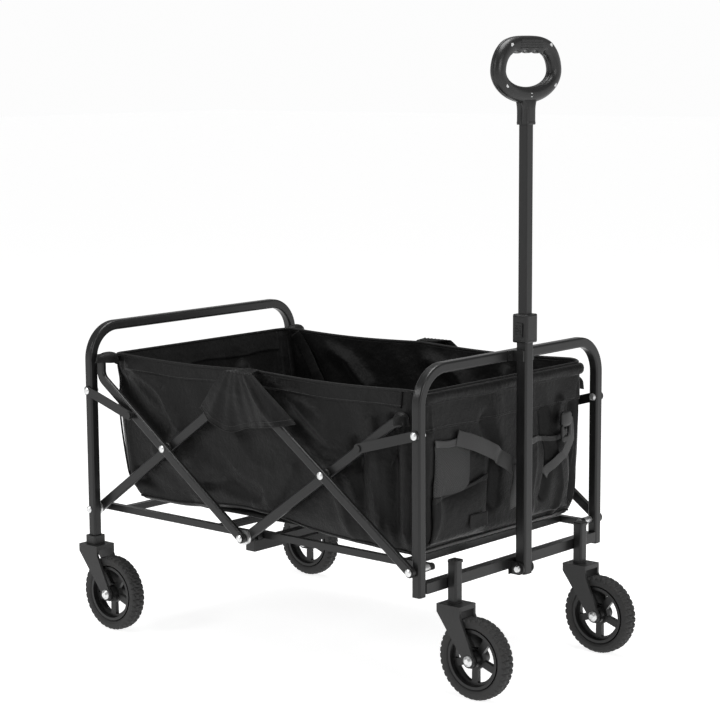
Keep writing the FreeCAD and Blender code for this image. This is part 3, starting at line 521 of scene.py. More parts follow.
def make_object(name: str, points: np.ndarray, faces: list, smooth: bool = True) -> bpy.types.Object:
    """Object at the origin with the given mesh.

    Args:
        name: object name.
        points: (N, 3) corners.
        faces: lists of corner numbers.
        smooth: whether faces are shaded smooth.

    Returns:
        The linked object.
    """
    mesh = bpy.data.meshes.new(name)
    mesh.from_pydata(np.asarray(points, float).reshape(-1, 3).tolist(), [], faces)
    mesh.polygons.foreach_set("use_smooth", np.full(len(mesh.polygons), smooth))
    mesh.update()
    piece = bpy.data.objects.new(name, mesh)
    bpy.context.scene.collection.objects.link(piece)
    return piece


def grid(
    name: str,
    points: np.ndarray,
    uv: np.ndarray | None = None,
    around: bool = False,
    hub: np.ndarray | None = None,
    flip: bool = False,
) -> bpy.types.Object:
    """Surface through a grid of points: each quad joins four neighbours.

    Args:
        name: object name.
        points: (rows, columns, 3) corners.
        uv: (rows, columns, 2) cloth distances, with one more column where it goes around.
        around: whether the last column joins the first.
        hub: point that closes the last row, if it is closed.
        flip: whether the faces turn over.

    Returns:
        The object.
    """
    rows, columns = points.shape[:2]
    last = columns if around else columns - 1
    row, column = np.meshgrid(np.arange(rows - 1), np.arange(last), indexing="ij")
    after = (column + 1) % columns
    near, far = row * columns, (row + 1) * columns
    quads = np.stack([near + column, far + column, far + after, near + after], -1).reshape(-1, 4)
    corners = [points.reshape(-1, 3)]
    faces = (quads[:, ::-1] if flip else quads).tolist()
    if hub is not None:
        corners.append(np.asarray(hub, float).reshape(1, 3))
        ring = (rows - 1) * columns + np.arange(columns)
        fan = np.stack([ring, np.full(columns, rows * columns), np.roll(ring, -1)], -1)
        faces += (fan[:, ::-1] if flip else fan).tolist()
    piece = make_object(name, np.concatenate(corners), faces)
    if uv is not None:
        ids = np.stack([row, row + 1, row + 1, row], -1).reshape(-1, 4)
        sides = np.stack([column, column, column + 1, column + 1], -1).reshape(-1, 4)
        values = uv[ids, sides]
        if flip:
            values = values[:, ::-1]
        flat = values.reshape(-1, 2)
        layer = piece.data.uv_layers.new(name="cloth")
        spare = len(piece.data.loops) - len(flat)
        if spare:
            flat = np.concatenate([flat, np.repeat(flat[-1:], spare, 0)])
        layer.data.foreach_set("uv", flat.astype(np.float32).ravel())
    return piece


def resample(path: np.ndarray, count: int) -> np.ndarray:
    """The same path with points at even distances.

    Args:
        path: (N, K) points; the first three columns are the place.
        count: number of points.

    Returns:
        (count, K) points.
    """
    steps = np.linalg.norm(np.diff(path[:, :3], axis=0), axis=1)
    reached = np.concatenate([[0.0], np.cumsum(steps)])
    wanted = np.linspace(0.0, reached[-1], count)
    return np.stack([np.interp(wanted, reached, path[:, k]) for k in range(path.shape[1])], -1)


def smooth_path(points: Sequence[Sequence[float]], count: int) -> np.ndarray:
    """Catmull-Rom curve through the points, at even distances."""
    p = np.asarray(points, float)
    p = np.concatenate([2 * p[:1] - p[1:2], p, 2 * p[-1:] - p[-2:-1]])
    s = np.linspace(0, 1, 24, endpoint=False)[:, None]
    pieces = [
        0.5
        * (
            2 * p[i + 1]
            + (p[i + 2] - p[i]) * s
            + (2 * p[i] - 5 * p[i + 1] + 4 * p[i + 2] - p[i + 3]) * s**2
            + (3 * p[i + 1] - p[i] - 3 * p[i + 2] + p[i + 3]) * s**3
        )
        for i in range(len(p) - 3)
    ]
    return resample(np.concatenate([*pieces, p[-2:-1]]), count)


def sweep(
    name: str, path: np.ndarray, up: np.ndarray, section: np.ndarray, closed: bool = False
) -> bpy.types.Object:
    """Section carried along a path: each ring is path + across * side + height * up.

    Args:
        name: object name.
        path: (N, 3) points.
        up: (N, 3) directions in which the section's second number goes.
        section: (M, 2) closed outline, anticlockwise seen along the path.
        closed: whether the path joins up.

    Returns:
        The object, with UV of distance along and round the section.
    """
    if closed:
        ahead = np.roll(path, -1, 0) - np.roll(path, 1, 0)
    else:
        ahead = np.gradient(path, axis=0)
    ahead = unit(ahead)
    up = unit(up - ahead * (up * ahead).sum(-1, keepdims=True))
    side = np.cross(ahead, up)
    rings = path[:, None] + section[None, :, :1] * side[:, None] + section[None, :, 1:] * up[:, None]
    step = np.linalg.norm(np.diff(path, axis=0), axis=1)
    along = np.concatenate([[0.0], np.cumsum(step)])
    loop = np.concatenate([section, section[:1]])
    across = np.concatenate([[0.0], np.cumsum(np.linalg.norm(np.diff(loop, axis=0), axis=1))])
    if closed:
        rings = np.concatenate([rings, rings[:1]])
        along = np.append(along, along[-1] + step[-1])
    uv = np.stack(np.meshgrid(along, across, indexing="ij"), -1)
    piece = grid(name, rings, uv, around=True, flip=True)
    mesh = piece.data
    count, size = rings.shape[:2]
    if closed:
        tidy(piece)
    else:
        ends = [list(range(size)), list(range((count - 1) * size, count * size))[::-1]]
        cap(piece, ends)
    mesh.update()
    return piece


def cap(piece: bpy.types.Object, ends: list[list[int]]) -> None:
    """Adds the end faces and keeps the UV map."""
    shape = bmesh.new()
    shape.from_mesh(piece.data)
    shape.verts.ensure_lookup_table()
    for end in ends:
        shape.faces.new([shape.verts[i] for i in end])
    bmesh.ops.recalc_face_normals(shape, faces=shape.faces[:])
    shape.to_mesh(piece.data)
    shape.free()


def tidy(piece: bpy.types.Object) -> None:
    """Merges doubled corners and turns the faces outwards."""
    shape = bmesh.new()
    shape.from_mesh(piece.data)
    bmesh.ops.remove_doubles(shape, verts=shape.verts[:], dist=1e-6)
    bmesh.ops.recalc_face_normals(shape, faces=shape.faces[:])
    shape.to_mesh(piece.data)
    shape.free()


def rounded_strip(width: float, thick: float, corners: int = 3) -> np.ndarray:
    """Outline of a strip with round edges, standing on its underside."""
    radius = min(thick, width) / 2 * 0.98
    turn = np.linspace(0, np.pi / 2, corners + 1)
    parts = []
    for quarter, (sx, sy) in enumerate(((1, 1), (-1, 1), (-1, -1), (1, -1))):
        angle = turn + quarter * np.pi / 2
        x = sx * (width / 2 - radius) + radius * np.cos(angle)
        y = thick / 2 + sy * (thick / 2 - radius) + radius * np.sin(angle)
        parts.append(np.stack([x, y], -1))
    return np.concatenate(parts)


def round_section(radius: float, sides: int = 10) -> np.ndarray:
    """Circle about the path."""
    angle = np.linspace(0, 2 * np.pi, sides, endpoint=False)
    return np.stack([np.cos(angle), np.sin(angle)], -1) * radius


def lathe(
    name: str, profile: np.ndarray, centre: Sequence[float], axis: Sequence[float], sides: int = 40
) -> bpy.types.Object:
    """Closed profile turned about an axis: each point circles it at its radius.

    Args:
        name: object name.
        profile: (N, 2) loop of (radius, place along the axis).
        centre: where the axis starts.
        axis: its direction.
        sides: number of columns.

    Returns:
        The object.
    """
    axis = unit(np.asarray(axis, float))
    spare = np.array([0.0, 0.0, 1.0]) if abs(axis[2]) < 0.9 else np.array([1.0, 0.0, 0.0])
    one = unit(np.cross(axis, spare))
    two = np.cross(axis, one)
    angle = np.linspace(0, 2 * np.pi, sides, endpoint=False)[None, :, None]
    radius, along = profile[:, 0][:, None, None], profile[:, 1][:, None, None]
    points = np.asarray(centre) + radius * (np.cos(angle) * one + np.sin(angle) * two) + along * axis
    points = np.concatenate([points, points[:1]])
    piece = grid(name, points, around=True)
    tidy(piece)
    return piece


def stitches(name: str, path: np.ndarray, up: np.ndarray, pitch: float = 0.0042) -> bpy.types.Object:
    """Row of stitches: one small capsule per pitch, half sunk into the cloth.

    Args:
        name: object name.
        path: (N, 3) seam line.
        up: (N, 3) outward directions.
        pitch: distance from stitch to stitch.

    Returns:
        One object with every stitch.
    """
    length = float(np.linalg.norm(np.diff(path, axis=0), axis=1).sum())
    count = max(2, int(length / pitch))
    line = resample(np.concatenate([path, up], 1), count * 2 + 1)
    middle, out = line[1::2, :3], unit(line[1::2, 3:])
    ahead = unit(line[2::2, :3] - line[:-2:2, :3])
    side = np.cross(ahead, out)
    half, thick = pitch * 0.39, 0.00055
    stations = np.array([-1.0, -0.55, 0.55, 1.0])
    widths = np.array([0.45, 1.0, 1.0, 0.45])
    angle = np.linspace(0, 2 * np.pi, 5, endpoint=False)
    local = np.stack(
        [
            np.repeat(stations * half, 5),
            (widths[:, None] * np.cos(angle)).ravel() * thick,
            (widths[:, None] * np.sin(angle)).ravel() * thick,
        ],
        -1,
    )
    points = (
        middle[:, None]
        + local[None, :, :1] * ahead[:, None]
        + local[None, :, 1:2] * side[:, None]
        + local[None, :, 2:] * out[:, None]
    )
    around = np.arange(5)
    ring = np.concatenate(
        [np.stack([around, (around + 1) % 5, (around + 1) % 5 + 5, around + 5], -1) + 5 * k for k in range(3)]
    )
    faces = (ring[None] + 20 * np.arange(count)[:, None, None]).reshape(-1, 4).tolist()
    caps = np.concatenate([[[4, 3, 2, 1, 0]], [[15, 16, 17, 18, 19]]])
    faces += (caps[None] + 20 * np.arange(count)[:, None, None]).reshape(-1, 5).tolist()
    return make_object(name, points, faces)


def finish_piece(
    piece: bpy.types.Object, material: bpy.types.Material, body: str, folds: bool = False
) -> bpy.types.Object:
    """Gives a piece its material and body.

    Args:
        piece: the object.
        material: its finish.
        body: CAD body that carries it.
        folds: whether the piece gets its own copy of its mesh.

    Returns:
        The piece.
    """
    piece.data.materials.clear()
    piece.data.materials.append(material)
    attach(piece, body)
    if folds:
        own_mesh(piece)
    LOG.info("%s rides on %s", piece.name, body)
    return piece


def thicken(piece: bpy.types.Object, thick: float, offset: float = -1.0) -> None:
    """Gives a sheet its thickness."""
    wall = piece.modifiers.new("thickness", "SOLIDIFY")
    wall.thickness = thick
    wall.offset = offset
    wall.use_even_offset = False


# ------------------------------------------------------------------ finishes in use


@dataclass
class Finishes:
    """Every material of the wagon, made once."""

    made: dict[str, bpy.types.Material] = field(default_factory=dict)

    def build(self) -> "Finishes":
        """Makes them all."""
        recipes = {
            "paint": PaintedSteel(),
            "plastic": MouldedPlastic("moulded_plastic", 0.013, 0.34),
            "fork": MouldedPlastic("fork_plastic", 0.017, 0.42, 1300.0, 0.00012),
            "wheel": MouldedPlastic("wheel_plastic", 0.010, 0.34),
            "tyre": TyreRubber(),
            "zinc": ZincPlate(),
            "cloth": WovenPolyester(),
            "lining": WovenPolyester("lining_polyester", 0.0060, 0.0013, 0.50, 0.06),
            "net": PocketNet(),
            "webbing": RibbedWebbing(),
            "thread": SewingThread(),
            "floor": StudioFloor(),
        }
        self.made = {name: recipe.build() for name, recipe in recipes.items()}
        return self

    def __getitem__(self, name: str) -> bpy.types.Material:
        """One material."""
        return self.made[name]


@dataclass
class PackedFrame:
    """Materials for the carried-over CAD nodes."""

    finishes: Finishes
    record: dict[str, Any]
    nodes: dict[str, bpy.types.Object]

    def dress(self) -> None:
        """Puts each node's slot material on its mesh."""
        by_slot = {
            Slot.FRAME.value: "paint",
            Slot.PLASTIC.value: "plastic",
            Slot.FORK.value: "fork",
            Slot.WHEEL.value: "wheel",
            Slot.TYRE.value: "tyre",
            Slot.ZINC.value: "zinc",
            Slot.CLOTH.value: "cloth",
        }
        slots = {part["node"]: part["material_slot"] for part in self.record["subparts"]}
        for name, node in self.nodes.items():
            node.data.materials.clear()
            node.data.materials.append(self.finishes[by_slot[slots[name]]])
        LOG.info("%d nodes dressed", len(self.nodes))


# ------------------------------------------------------------------ cloth tub


@dataclass(frozen=True)
class Crease:
    """A ridge or a valley in a wall: a line of (distance along the wall, height) points.

    Fields are metres; a negative rise sinks inwards.
    """

    line: tuple[tuple[float, float], ...]
    width: float
    rise: float

    def height(self, along: np.ndarray, level: np.ndarray) -> np.ndarray:
        """Gaussian of the distance to the line, times the rise."""
        near = np.full(along.shape, np.inf)
        for start, end in zip(self.line[:-1], self.line[1:]):
            dx, dz = end[0] - start[0], end[1] - start[1]
            share = ((along - start[0]) * dx + (level - start[1]) * dz) / (dx * dx + dz * dz)
            share = np.clip(share, 0.0, 1.0)
            gap = np.hypot(along - start[0] - share * dx, level - start[1] - share * dz)
            near = np.minimum(near, gap)
        return self.rise * np.exp(-((near / self.width) ** 2))


RIGHT_CREASES = (
    Crease(((-0.375, 0.500), (-0.338, 0.484), (-0.291, 0.457), (-0.250, 0.405)), 0.012, 0.006),
    Crease(((-0.410, 0.470), (-0.350, 0.430), (-0.290, 0.392)), 0.016, -0.006),
    Crease(((-0.300, 0.350), (-0.237, 0.318), (-0.190, 0.350)), 0.016, 0.005),
    Crease(((-0.135, 0.392), (-0.080, 0.352), (-0.015, 0.322)), 0.026, 0.006),
    Crease(((-0.200, 0.300), (-0.120, 0.312), (-0.050, 0.290)), 0.015, -0.006),
    Crease(((-0.060, 0.270), (-0.010, 0.305), (0.030, 0.356)), 0.013, 0.006),
    Crease(((-0.010, 0.505), (0.040, 0.480), (0.110, 0.425)), 0.018, 0.005),
    Crease(((0.040, 0.440), (0.110, 0.402), (0.180, 0.390)), 0.017, -0.006),
    Crease(((0.120, 0.370), (0.150, 0.300), (0.165, 0.250)), 0.011, 0.006),
    Crease(((0.175, 0.420), (0.190, 0.340), (0.200, 0.250)), 0.010, -0.006),
    Crease(((0.215, 0.460), (0.225, 0.360), (0.235, 0.250)), 0.009, 0.006),
    Crease(((0.258, 0.470), (0.262, 0.380), (0.268, 0.255)), 0.008, -0.007),
    Crease(((0.285, 0.480), (0.288, 0.400), (0.290, 0.260)), 0.008, 0.005),
    Crease(((-0.360, 0.300), (-0.300, 0.270), (-0.230, 0.262)), 0.012, -0.005),
)
LEFT_CREASES = (
    Crease(((-0.380, 0.500), (-0.330, 0.440), (-0.300, 0.360)), 0.014, 0.006),
    Crease(((-0.300, 0.490), (-0.255, 0.470), (-0.200, 0.420)), 0.015, -0.007),
    Crease(((-0.215, 0.360), (-0.130, 0.330), (-0.060, 0.350)), 0.020, 0.006),
    Crease(((-0.045, 0.490), (0.020, 0.470), (0.070, 0.420)), 0.016, -0.007),
    Crease(((0.050, 0.390), (0.100, 0.340), (0.120, 0.270)), 0.012, 0.006),
    Crease(((0.140, 0.480), (0.165, 0.400), (0.170, 0.280)), 0.011, -0.006),
    Crease(((0.215, 0.460), (0.225, 0.360), (0.235, 0.250)), 0.010, 0.006),
    Crease(((0.270, 0.470), (0.268, 0.370), (0.272, 0.260)), 0.009, -0.006),
)
FRONT_CREASES = (
    Crease(((-0.215, 0.440), (-0.190, 0.360), (-0.200, 0.270)), 0.012, 0.005),
    Crease(((-0.060, 0.450), (-0.030, 0.400), (-0.035, 0.300)), 0.014, -0.007),
    Crease(((0.055, 0.450), (0.070, 0.390), (0.060, 0.300), (0.075, 0.250)), 0.012, 0.007),
    Crease(((0.110, 0.440), (0.120, 0.370), (0.105, 0.290)), 0.010, -0.007),
    Crease(((0.160, 0.450), (0.150, 0.370), (0.165, 0.300), (0.155, 0.250)), 0.010, 0.008),
    Crease(((0.200, 0.440), (0.192, 0.360), (0.203, 0.270)), 0.009, -0.010),
    Crease(((-0.200, 0.255), (-0.080, 0.262), (0.060, 0.252)), 0.010, 0.004),
)
REAR_CREASES = (
    Crease(((-0.200, 0.440), (-0.150, 0.390), (-0.120, 0.300)), 0.014, 0.006),
    Crease(((-0.080, 0.450), (-0.050, 0.380), (-0.070, 0.290)), 0.015, -0.007),
    Crease(((0.010, 0.440), (0.050, 0.370), (0.040, 0.290)), 0.014, 0.006),
    Crease(((0.110, 0.450), (0.135, 0.380), (0.190, 0.320)), 0.013, -0.006),
    Crease(((-0.210, 0.330), (-0.190, 0.290), (-0.140, 0.262)), 0.010, 0.005),
)


@dataclass
class Tub:
    """The open cloth tub: one lofted shell that hangs from its rim and sags onto the floor frames."""

    finishes: Finishes
    corner: float = 0.026
    columns: int = 560
    wall_rows: int = 84
    floor_rows: int = 26
    cloth: float = 0.0016
    band: float = 0.064
    slack: float = 1.55
    seed: int = 7
    front_rim: float = 0.0
    rear_rim: float = 0.0
    front_low: float = 0.0
    rear_low: float = 0.0
    half: float = 0.0
    top: float = 0.0
    floor: float = 0.0

    def measure(self) -> "Tub":
        """Reads the tub's size from the CAD walls."""
        front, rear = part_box("basket_front"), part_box("basket_rear")
        left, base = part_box("basket_side_left"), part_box("basket_floor")
        self.front_rim, self.rear_rim = front[1].x, rear[0].x
        self.front_low, self.rear_low = base[1].x + 0.004, base[0].x - 0.004
        self.half, self.top, self.floor = left[1].y - 0.001, left[1].z, base[0].z
        self._outline()
        rng = np.random.default_rng(self.seed)
        self.waves = np.stack(
            [
                rng.uniform(20, 95, 26),
                rng.uniform(6, 42, 26),
                rng.uniform(0, 2 * np.pi, 26),
                rng.uniform(0.4, 1.0, 26),
            ],
            -1,
        )
        return self

    def _outline(self) -> None:
        """Rounded rectangle of the rim, from the rear edge's middle past the right side, in even steps."""
        length, width, r = self.front_rim - self.rear_rim, 2 * self.half, self.corner
        turn = np.linspace(0, np.pi / 2, 9)
        parts = [np.array([[0.0, width / 2]])]
        centres = ((r, r), (length - r, r), (length - r, width - r), (r, width - r))
        for quarter, (cx, cy) in enumerate(centres):
            angle = np.pi + quarter * np.pi / 2 + turn
            parts.append(np.stack([cx + r * np.cos(angle), cy + r * np.sin(angle)], -1))
        parts.append(parts[0])
        line = np.concatenate(parts)
        line[:, 0] = 2 * line[:, 0] / length - 1
        line[:, 1] = 2 * line[:, 1] / width - 1
        real = line * np.array([length / 2, width / 2])
        step = np.linalg.norm(np.diff(real, axis=0), axis=1)
        self.reached = np.concatenate([[0.0], np.cumsum(step)])
        self.perimeter = float(self.reached[-1])
        self.reached /= self.perimeter
        self.line = line

    def ring(self, share: np.ndarray) -> tuple[np.ndarray, np.ndarray]:
        """Unit outline and outward directions at shares of the perimeter.

        Args:
            share: 0 to 1 round the rim.

        Returns:
            (..., 2) places from -1 to 1, and (..., 2) outward directions.
        """
        share = np.asarray(share, float) % 1.0
        place = np.stack([np.interp(share, self.reached, self.line[:, k]) for k in (0, 1)], -1)
        gap = 0.0035
        size = np.array([(self.front_rim - self.rear_rim) / 2, self.half])
        ahead, behind = [
            np.stack([np.interp((share + s) % 1.0, self.reached, self.line[:, k]) for k in (0, 1)], -1)
            for s in (gap, -gap)
        ]
        run = unit((ahead - behind) * size)
        return place, np.stack([run[..., 1], -run[..., 0]], -1)

    def share_of(self, wall: Wall, distance: np.ndarray) -> np.ndarray:
        """Share of the perimeter at a distance along a wall: X on the sides, Y on the ends."""
        distance = np.asarray(distance, float)
        length = self.front_rim - self.rear_rim
        middle = (self.front_rim + self.rear_rim) / 2
        half_turn = 2 * self.corner - np.pi / 2 * self.corner
        end, side = 2 * self.half - half_turn, length - half_turn
        if wall is Wall.RIGHT:
            return (end / 2 + side / 2 + (distance - middle)) / self.perimeter
        if wall is Wall.FRONT:
            return (end / 2 + side + end / 2 + distance) / self.perimeter
        if wall is Wall.LEFT:
            return (end / 2 + side + end + side / 2 - (distance - middle)) / self.perimeter
        return (-distance / self.perimeter) % 1.0

    def wall_of(self, level: np.ndarray) -> np.ndarray:
        """Share of the way down the wall at a height."""
        return (self.top - np.asarray(level, float)) / (self.top - self.floor)

    def skin(self, share: np.ndarray, down: np.ndarray, lift: float | np.ndarray = 0.0) -> np.ndarray:
        """Points on the wall, with every sag and crease.

        Args:
            share: 0 to 1 round the rim.
            down: 0 at the rim to 1 at the floor.
            lift: distance outwards from the cloth.

        Returns:
            (..., 3) points.
        """
        place, out = self.ring(share)
        front = self.front_rim + (self.front_low - self.front_rim) * down
        rear = self.rear_rim + (self.rear_low - self.rear_rim) * down
        ahead, behind = np.clip(out[..., 0], 0, 1), np.clip(-out[..., 0], 0, 1)
        aside = np.abs(out[..., 1])
        turn = 0.17 + 0.10 * behind
        late = np.clip((down - 1 + turn) / turn, 0, 1)
        tuck = (0.026 * aside + 0.016 * ahead + 0.052 * behind) * (1 - np.sqrt(np.clip(1 - late**2, 0, 1)))
        x = (front + rear) / 2 + place[..., 0] * (front - rear) / 2
        y = place[..., 1] * self.half
        middle = -0.062
        slack = 0.5 + 0.5 * np.cos(np.clip((x - middle + 0.03) / 0.20, -1, 1) * np.pi)
        rise = aside * (0.016 * slack - 0.009 * np.clip((x - 0.02) / 0.2, 0, 1)) - 0.008 * ahead
        away = np.clip(np.abs(x - middle) / 0.36, 0, 1)
        dip = aside * 0.005 * np.sin(away * np.pi) + 0.003 * (ahead + behind)
        top = self.top - 0.001 - dip
        low = self.floor + rise
        z = top + (low - top) * down
        push = self.relief(x, y, z, out, down) - tuck
        full = push + lift
        return np.stack([x + out[..., 0] * full, y + out[..., 1] * full, z], -1)

    def relief(
        self, x: np.ndarray, y: np.ndarray, z: np.ndarray, out: np.ndarray, down: np.ndarray
    ) -> np.ndarray:
        """How far the cloth stands out of its flat wall: a belly, listed creases and fine crinkles.

        The crinkles are seeded sines of the distance round and down, stronger between the rim and the floor.
        """
        hold = np.clip(down / 0.16, 0, 1) * np.clip((1.06 - down) / 0.25, 0, 1)
        total = 0.004 * np.sin(np.clip(down, 0, 1) * np.pi)
        weights = (
            (np.clip(-out[..., 1], 0, 1), x, RIGHT_CREASES),
            (np.clip(out[..., 1], 0, 1), x, LEFT_CREASES),
            (np.clip(out[..., 0], 0, 1), y, FRONT_CREASES),
            (np.clip(-out[..., 0], 0, 1), y, REAR_CREASES),
        )
        for weight, along, creases in weights:
            for crease in creases:
                total = total + weight**2 * hold * self.slack * crease.height(along, z)
        round_it = x * np.abs(out[..., 1]) + y * np.abs(out[..., 0]) + 2.3 * out[..., 1] + 3.7 * out[..., 0]
        ripple = np.zeros_like(total)
        for across, upright, phase, size in self.waves:
            ripple = ripple + size * np.sin(across * round_it + upright * z + phase)
        total = total + 0.00045 * hold * ripple
        return np.minimum(total, 0.0085)

    def build(self) -> None:
        """Makes the shell, its bands, cords, seams and everything sewn to it."""
        self.shell()
        self.bands()
        self.cords()
        self.front_pockets()
        self.front_straps()
        self.lining_straps()
        self.floor_mat()

    def shell(self) -> None:
        """Walls and floor as one loft; the floor's rings shrink to its middle over shallow waves."""
        share = np.linspace(0, 1, self.columns, endpoint=False)
        down = np.linspace(0, 1, self.wall_rows) ** 0.97
        s, d = np.meshgrid(share, down, indexing="xy")
        wall = self.skin(s, d)
        edge = wall[-1]
        centre = np.array([(self.front_low + self.rear_low) / 2, 0.0, self.floor + 0.002])
        shrink = np.linspace(1, 0, self.floor_rows + 1)[1:-1][:, None, None]
        base = centre + (edge[None] - centre) * shrink
        wave = 0.0016 * np.sin(base[..., 0] * 31) * np.cos(base[..., 1] * 43)
        base[..., 2] = self.floor + (edge[None, :, 2] - self.floor) * shrink[..., 0] ** 6 + 0.002 + wave
        points = np.concatenate([wall, base])
        round_it = np.linspace(0, self.perimeter, self.columns + 1)
        inward = np.linspace(0, self.half, self.floor_rows)[1:]
        fall = np.concatenate([down * (self.top - self.floor), (self.top - self.floor) + inward])
        uv = np.stack(np.broadcast_arrays(round_it[None, :], fall[:, None]), -1)
        tub = grid("tub_shell", points, uv, around=True, hub=centre)
        thicken(tub, self.cloth)
        finish_piece(tub, self.finishes["cloth"], "top_hub", folds=True)
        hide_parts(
            "basket_front", "basket_rear", "basket_side_left", "basket_side_right", "basket_floor"
        )

    def strip(
        self,
        name: str,
        share: np.ndarray,
        tops: np.ndarray,
        lows: np.ndarray,
        lift: float,
        thick: float,
        finish: str = "cloth",
        belly: float = 0.0,
        rows: int = 16,
        roll: float = 0.0,
    ) -> bpy.types.Object:
        """A panel sewn on the wall, between two heights.

        Args:
            name: piece name.
            share: places round the rim.
            tops: height of the upper edge at each place.
            lows: height of the lower edge at each place.
            lift: distance outwards of its back.
            thick: its thickness.
            finish: material name.
            belly: how far its middle stands out.
            roll: radius of the padded roll along its upper edge.
            rows: rows of the grid.

        Returns:
            The panel, riding with the tub.
        """
        step = np.linspace(0, 1, rows)[:, None]
        level = tops[None] + (lows - tops)[None] * step
        s = np.broadcast_to(share[None], level.shape)
        across = np.linspace(0, 1, len(share))[None]
        swell = belly * np.sin(np.pi * step) ** 0.7 * np.sin(np.pi * across) ** 0.5
        below = np.clip((tops[None] - level) / max(2.4 * roll, 1e-6), 0, 1)
        bead = roll * np.sqrt(np.clip(1 - (2 * below - 1) ** 2, 0, 1)) if roll else 0.0
        points = self.skin(s, self.wall_of(level), lift + thick + swell + bead)
        uv = np.stack([s * self.perimeter, (self.top - level)], -1)
        piece = grid(name, points, uv)
        thicken(piece, thick)
        finish_piece(piece, self.finishes[finish], "top_hub", folds=True)
        return piece

    def seam(self, name: str, share: np.ndarray, level: np.ndarray, lift: float) -> None:
        """A row of stitches along a line on the wall."""
        share, level = np.broadcast_arrays(np.asarray(share, float), np.asarray(level, float))
        path = self.skin(share, self.wall_of(level), lift)
        _, out = self.ring(share)
        up = outward_rows(out)
        row = stitches(name, path, up)
        finish_piece(row, self.finishes["thread"], "top_hub", folds=True)

    def span(self, wall: Wall, start: float, end: float, count: int) -> np.ndarray:
        """Even shares of the rim between two distances along a wall."""
        ends = self.share_of(wall, np.array([start, end]))
        return np.linspace(ends[0], ends[1], count)

    def bands(self) -> None:
        """Deep folded hem bands on the ends, and narrow ones on the sides."""
        reach = self.half - 0.012
        for wall, name in ((Wall.FRONT, "front"), (Wall.REAR, "rear")):
            if wall is Wall.FRONT:
                share = self.span(wall, -reach, reach, 120)
            else:
                share = np.linspace(-reach, reach, 120) / self.perimeter
            wobble = 0.0012 * np.sin(np.linspace(0, 15, 120))
            tops, lows = np.full(120, self.top + 0.001), self.top - self.band + wobble
            self.strip(f"hem_band_{name}", share, tops, lows, 0.0008, 0.0022, rows=44, roll=0.0085)
            self.seam(f"hem_stitches_{name}", share, self.top - self.band + 0.004 + wobble, 0.0032)
            self.seam(f"hem_stitches_{name}_upper", share, np.full(120, self.top - 0.0175), 0.0034)
        start, end = self.rear_rim + 0.035, self.front_rim - 0.035
        for wall, name in ((Wall.RIGHT, "right"), (Wall.LEFT, "left")):
            share = self.span(wall, start, end, 180)
            wobble = 0.0008 * np.sin(np.linspace(0, 23, 180))
            tops, lows = np.full(180, self.top + 0.0008), self.top - 0.026 + wobble
            self.strip(f"hem_band_{name}", share, tops, lows, 0.0004, 0.0014, rows=8)
            self.seam(f"hem_stitches_{name}", share, self.top - 0.0225 + wobble, 0.0020)

    def cords(self) -> None:
        """Piping round the rim, down the four corners and round the floor."""
        share = np.linspace(0, 1, 480, endpoint=False)
        rim = self.skin(share, np.zeros(480), -0.0008)
        rim[:, 2] += 0.0012
        up = np.tile([0.0, 0.0, 1.0], (480, 1))
        piece = sweep("rim_piping", rim, up, round_section(0.0030, 12), closed=True)
        finish_piece(piece, self.finishes["lining"], "top_hub", folds=True)
        base = self.skin(share, np.full(480, 0.965), 0.0004)
        _, out = self.ring(share)
        up = outward_rows(out)
        piece = sweep("floor_piping", base, up, round_section(0.0019, 8), closed=True)
        finish_piece(piece, self.finishes["lining"], "top_hub", folds=True)
        places = [
            self.share_of(Wall.RIGHT, self.rear_rim + 0.012),
            self.share_of(Wall.RIGHT, self.front_rim - 0.012),
            self.share_of(Wall.LEFT, self.front_rim - 0.012),
            self.share_of(Wall.LEFT, self.rear_rim + 0.012),
        ]
        names = ("rear_right", "front_right", "front_left", "rear_left")
        for place, name in zip(places, names):
            down = np.linspace(0.02, 0.96, 90)
            share = np.full(90, float(place))
            path = self.skin(share, down, 0.0006)
            _, out = self.ring(share)
            up = outward_rows(out)
            piece = sweep(f"corner_piping_{name}", path, up, round_section(0.0018, 8))
            finish_piece(piece, self.finishes["lining"], "top_hub", folds=True)

    def front_pockets(self) -> None:
        """A net pocket, a cloth pocket under it with a bound mouth, and a blank sewn patch."""
        share = self.span(Wall.FRONT, -0.203, -0.103, 60)
        ripple = np.sin(np.linspace(0, np.pi, 60))
        tops = 0.431 - 0.006 * ripple
        lows = np.full(60, 0.336)
        self.strip("pocket_net", share, tops, lows, 0.0008, 0.0012, "net", belly=0.010, rows=30)
        self.strip("pocket_net_binding", share, tops + 0.008, tops - 0.004, 0.0030, 0.0016, "webbing", rows=6)
        share = self.span(Wall.FRONT, -0.205, -0.052, 90)
        slope = np.linspace(0, 1, 90)
        tops = 0.338 + 0.020 * slope**2
        lows = 0.262 - 0.004 * slope
        self.strip("pocket_cloth", share, tops, lows, 0.0012, 0.0018, belly=0.013, rows=36)
        high, low = tops + 0.004, tops - 0.006
        self.strip("pocket_cloth_binding", share, high, low, 0.0034, 0.0014, "lining", rows=6)
        self.seam("pocket_stitches_low", share, 0.266 - 0.004 * slope, 0.0046)
        edge = np.full(40, float(self.share_of(Wall.FRONT, -0.056)))
        self.seam("pocket_stitches_side", edge, np.linspace(0.352, 0.262, 40), 0.0050)
        share = self.span(Wall.FRONT, -0.114, -0.066, 24)
        high, low = np.full(24, 0.300), np.full(24, 0.276)
        self.strip("blank_patch", share, high, low, 0.0168, 0.0010, "lining", rows=10)
        share = self.span(Wall.FRONT, 0.050, 0.205, 90)
        sway = 0.004 * np.sin(np.linspace(0, 9, 90))
        lows = np.full(90, 0.262)
        self.strip("pocket_left", share, 0.398 + sway, lows, 0.0010, 0.0018, belly=0.011, rows=44)
        high, low = 0.403 + sway, 0.391 + sway
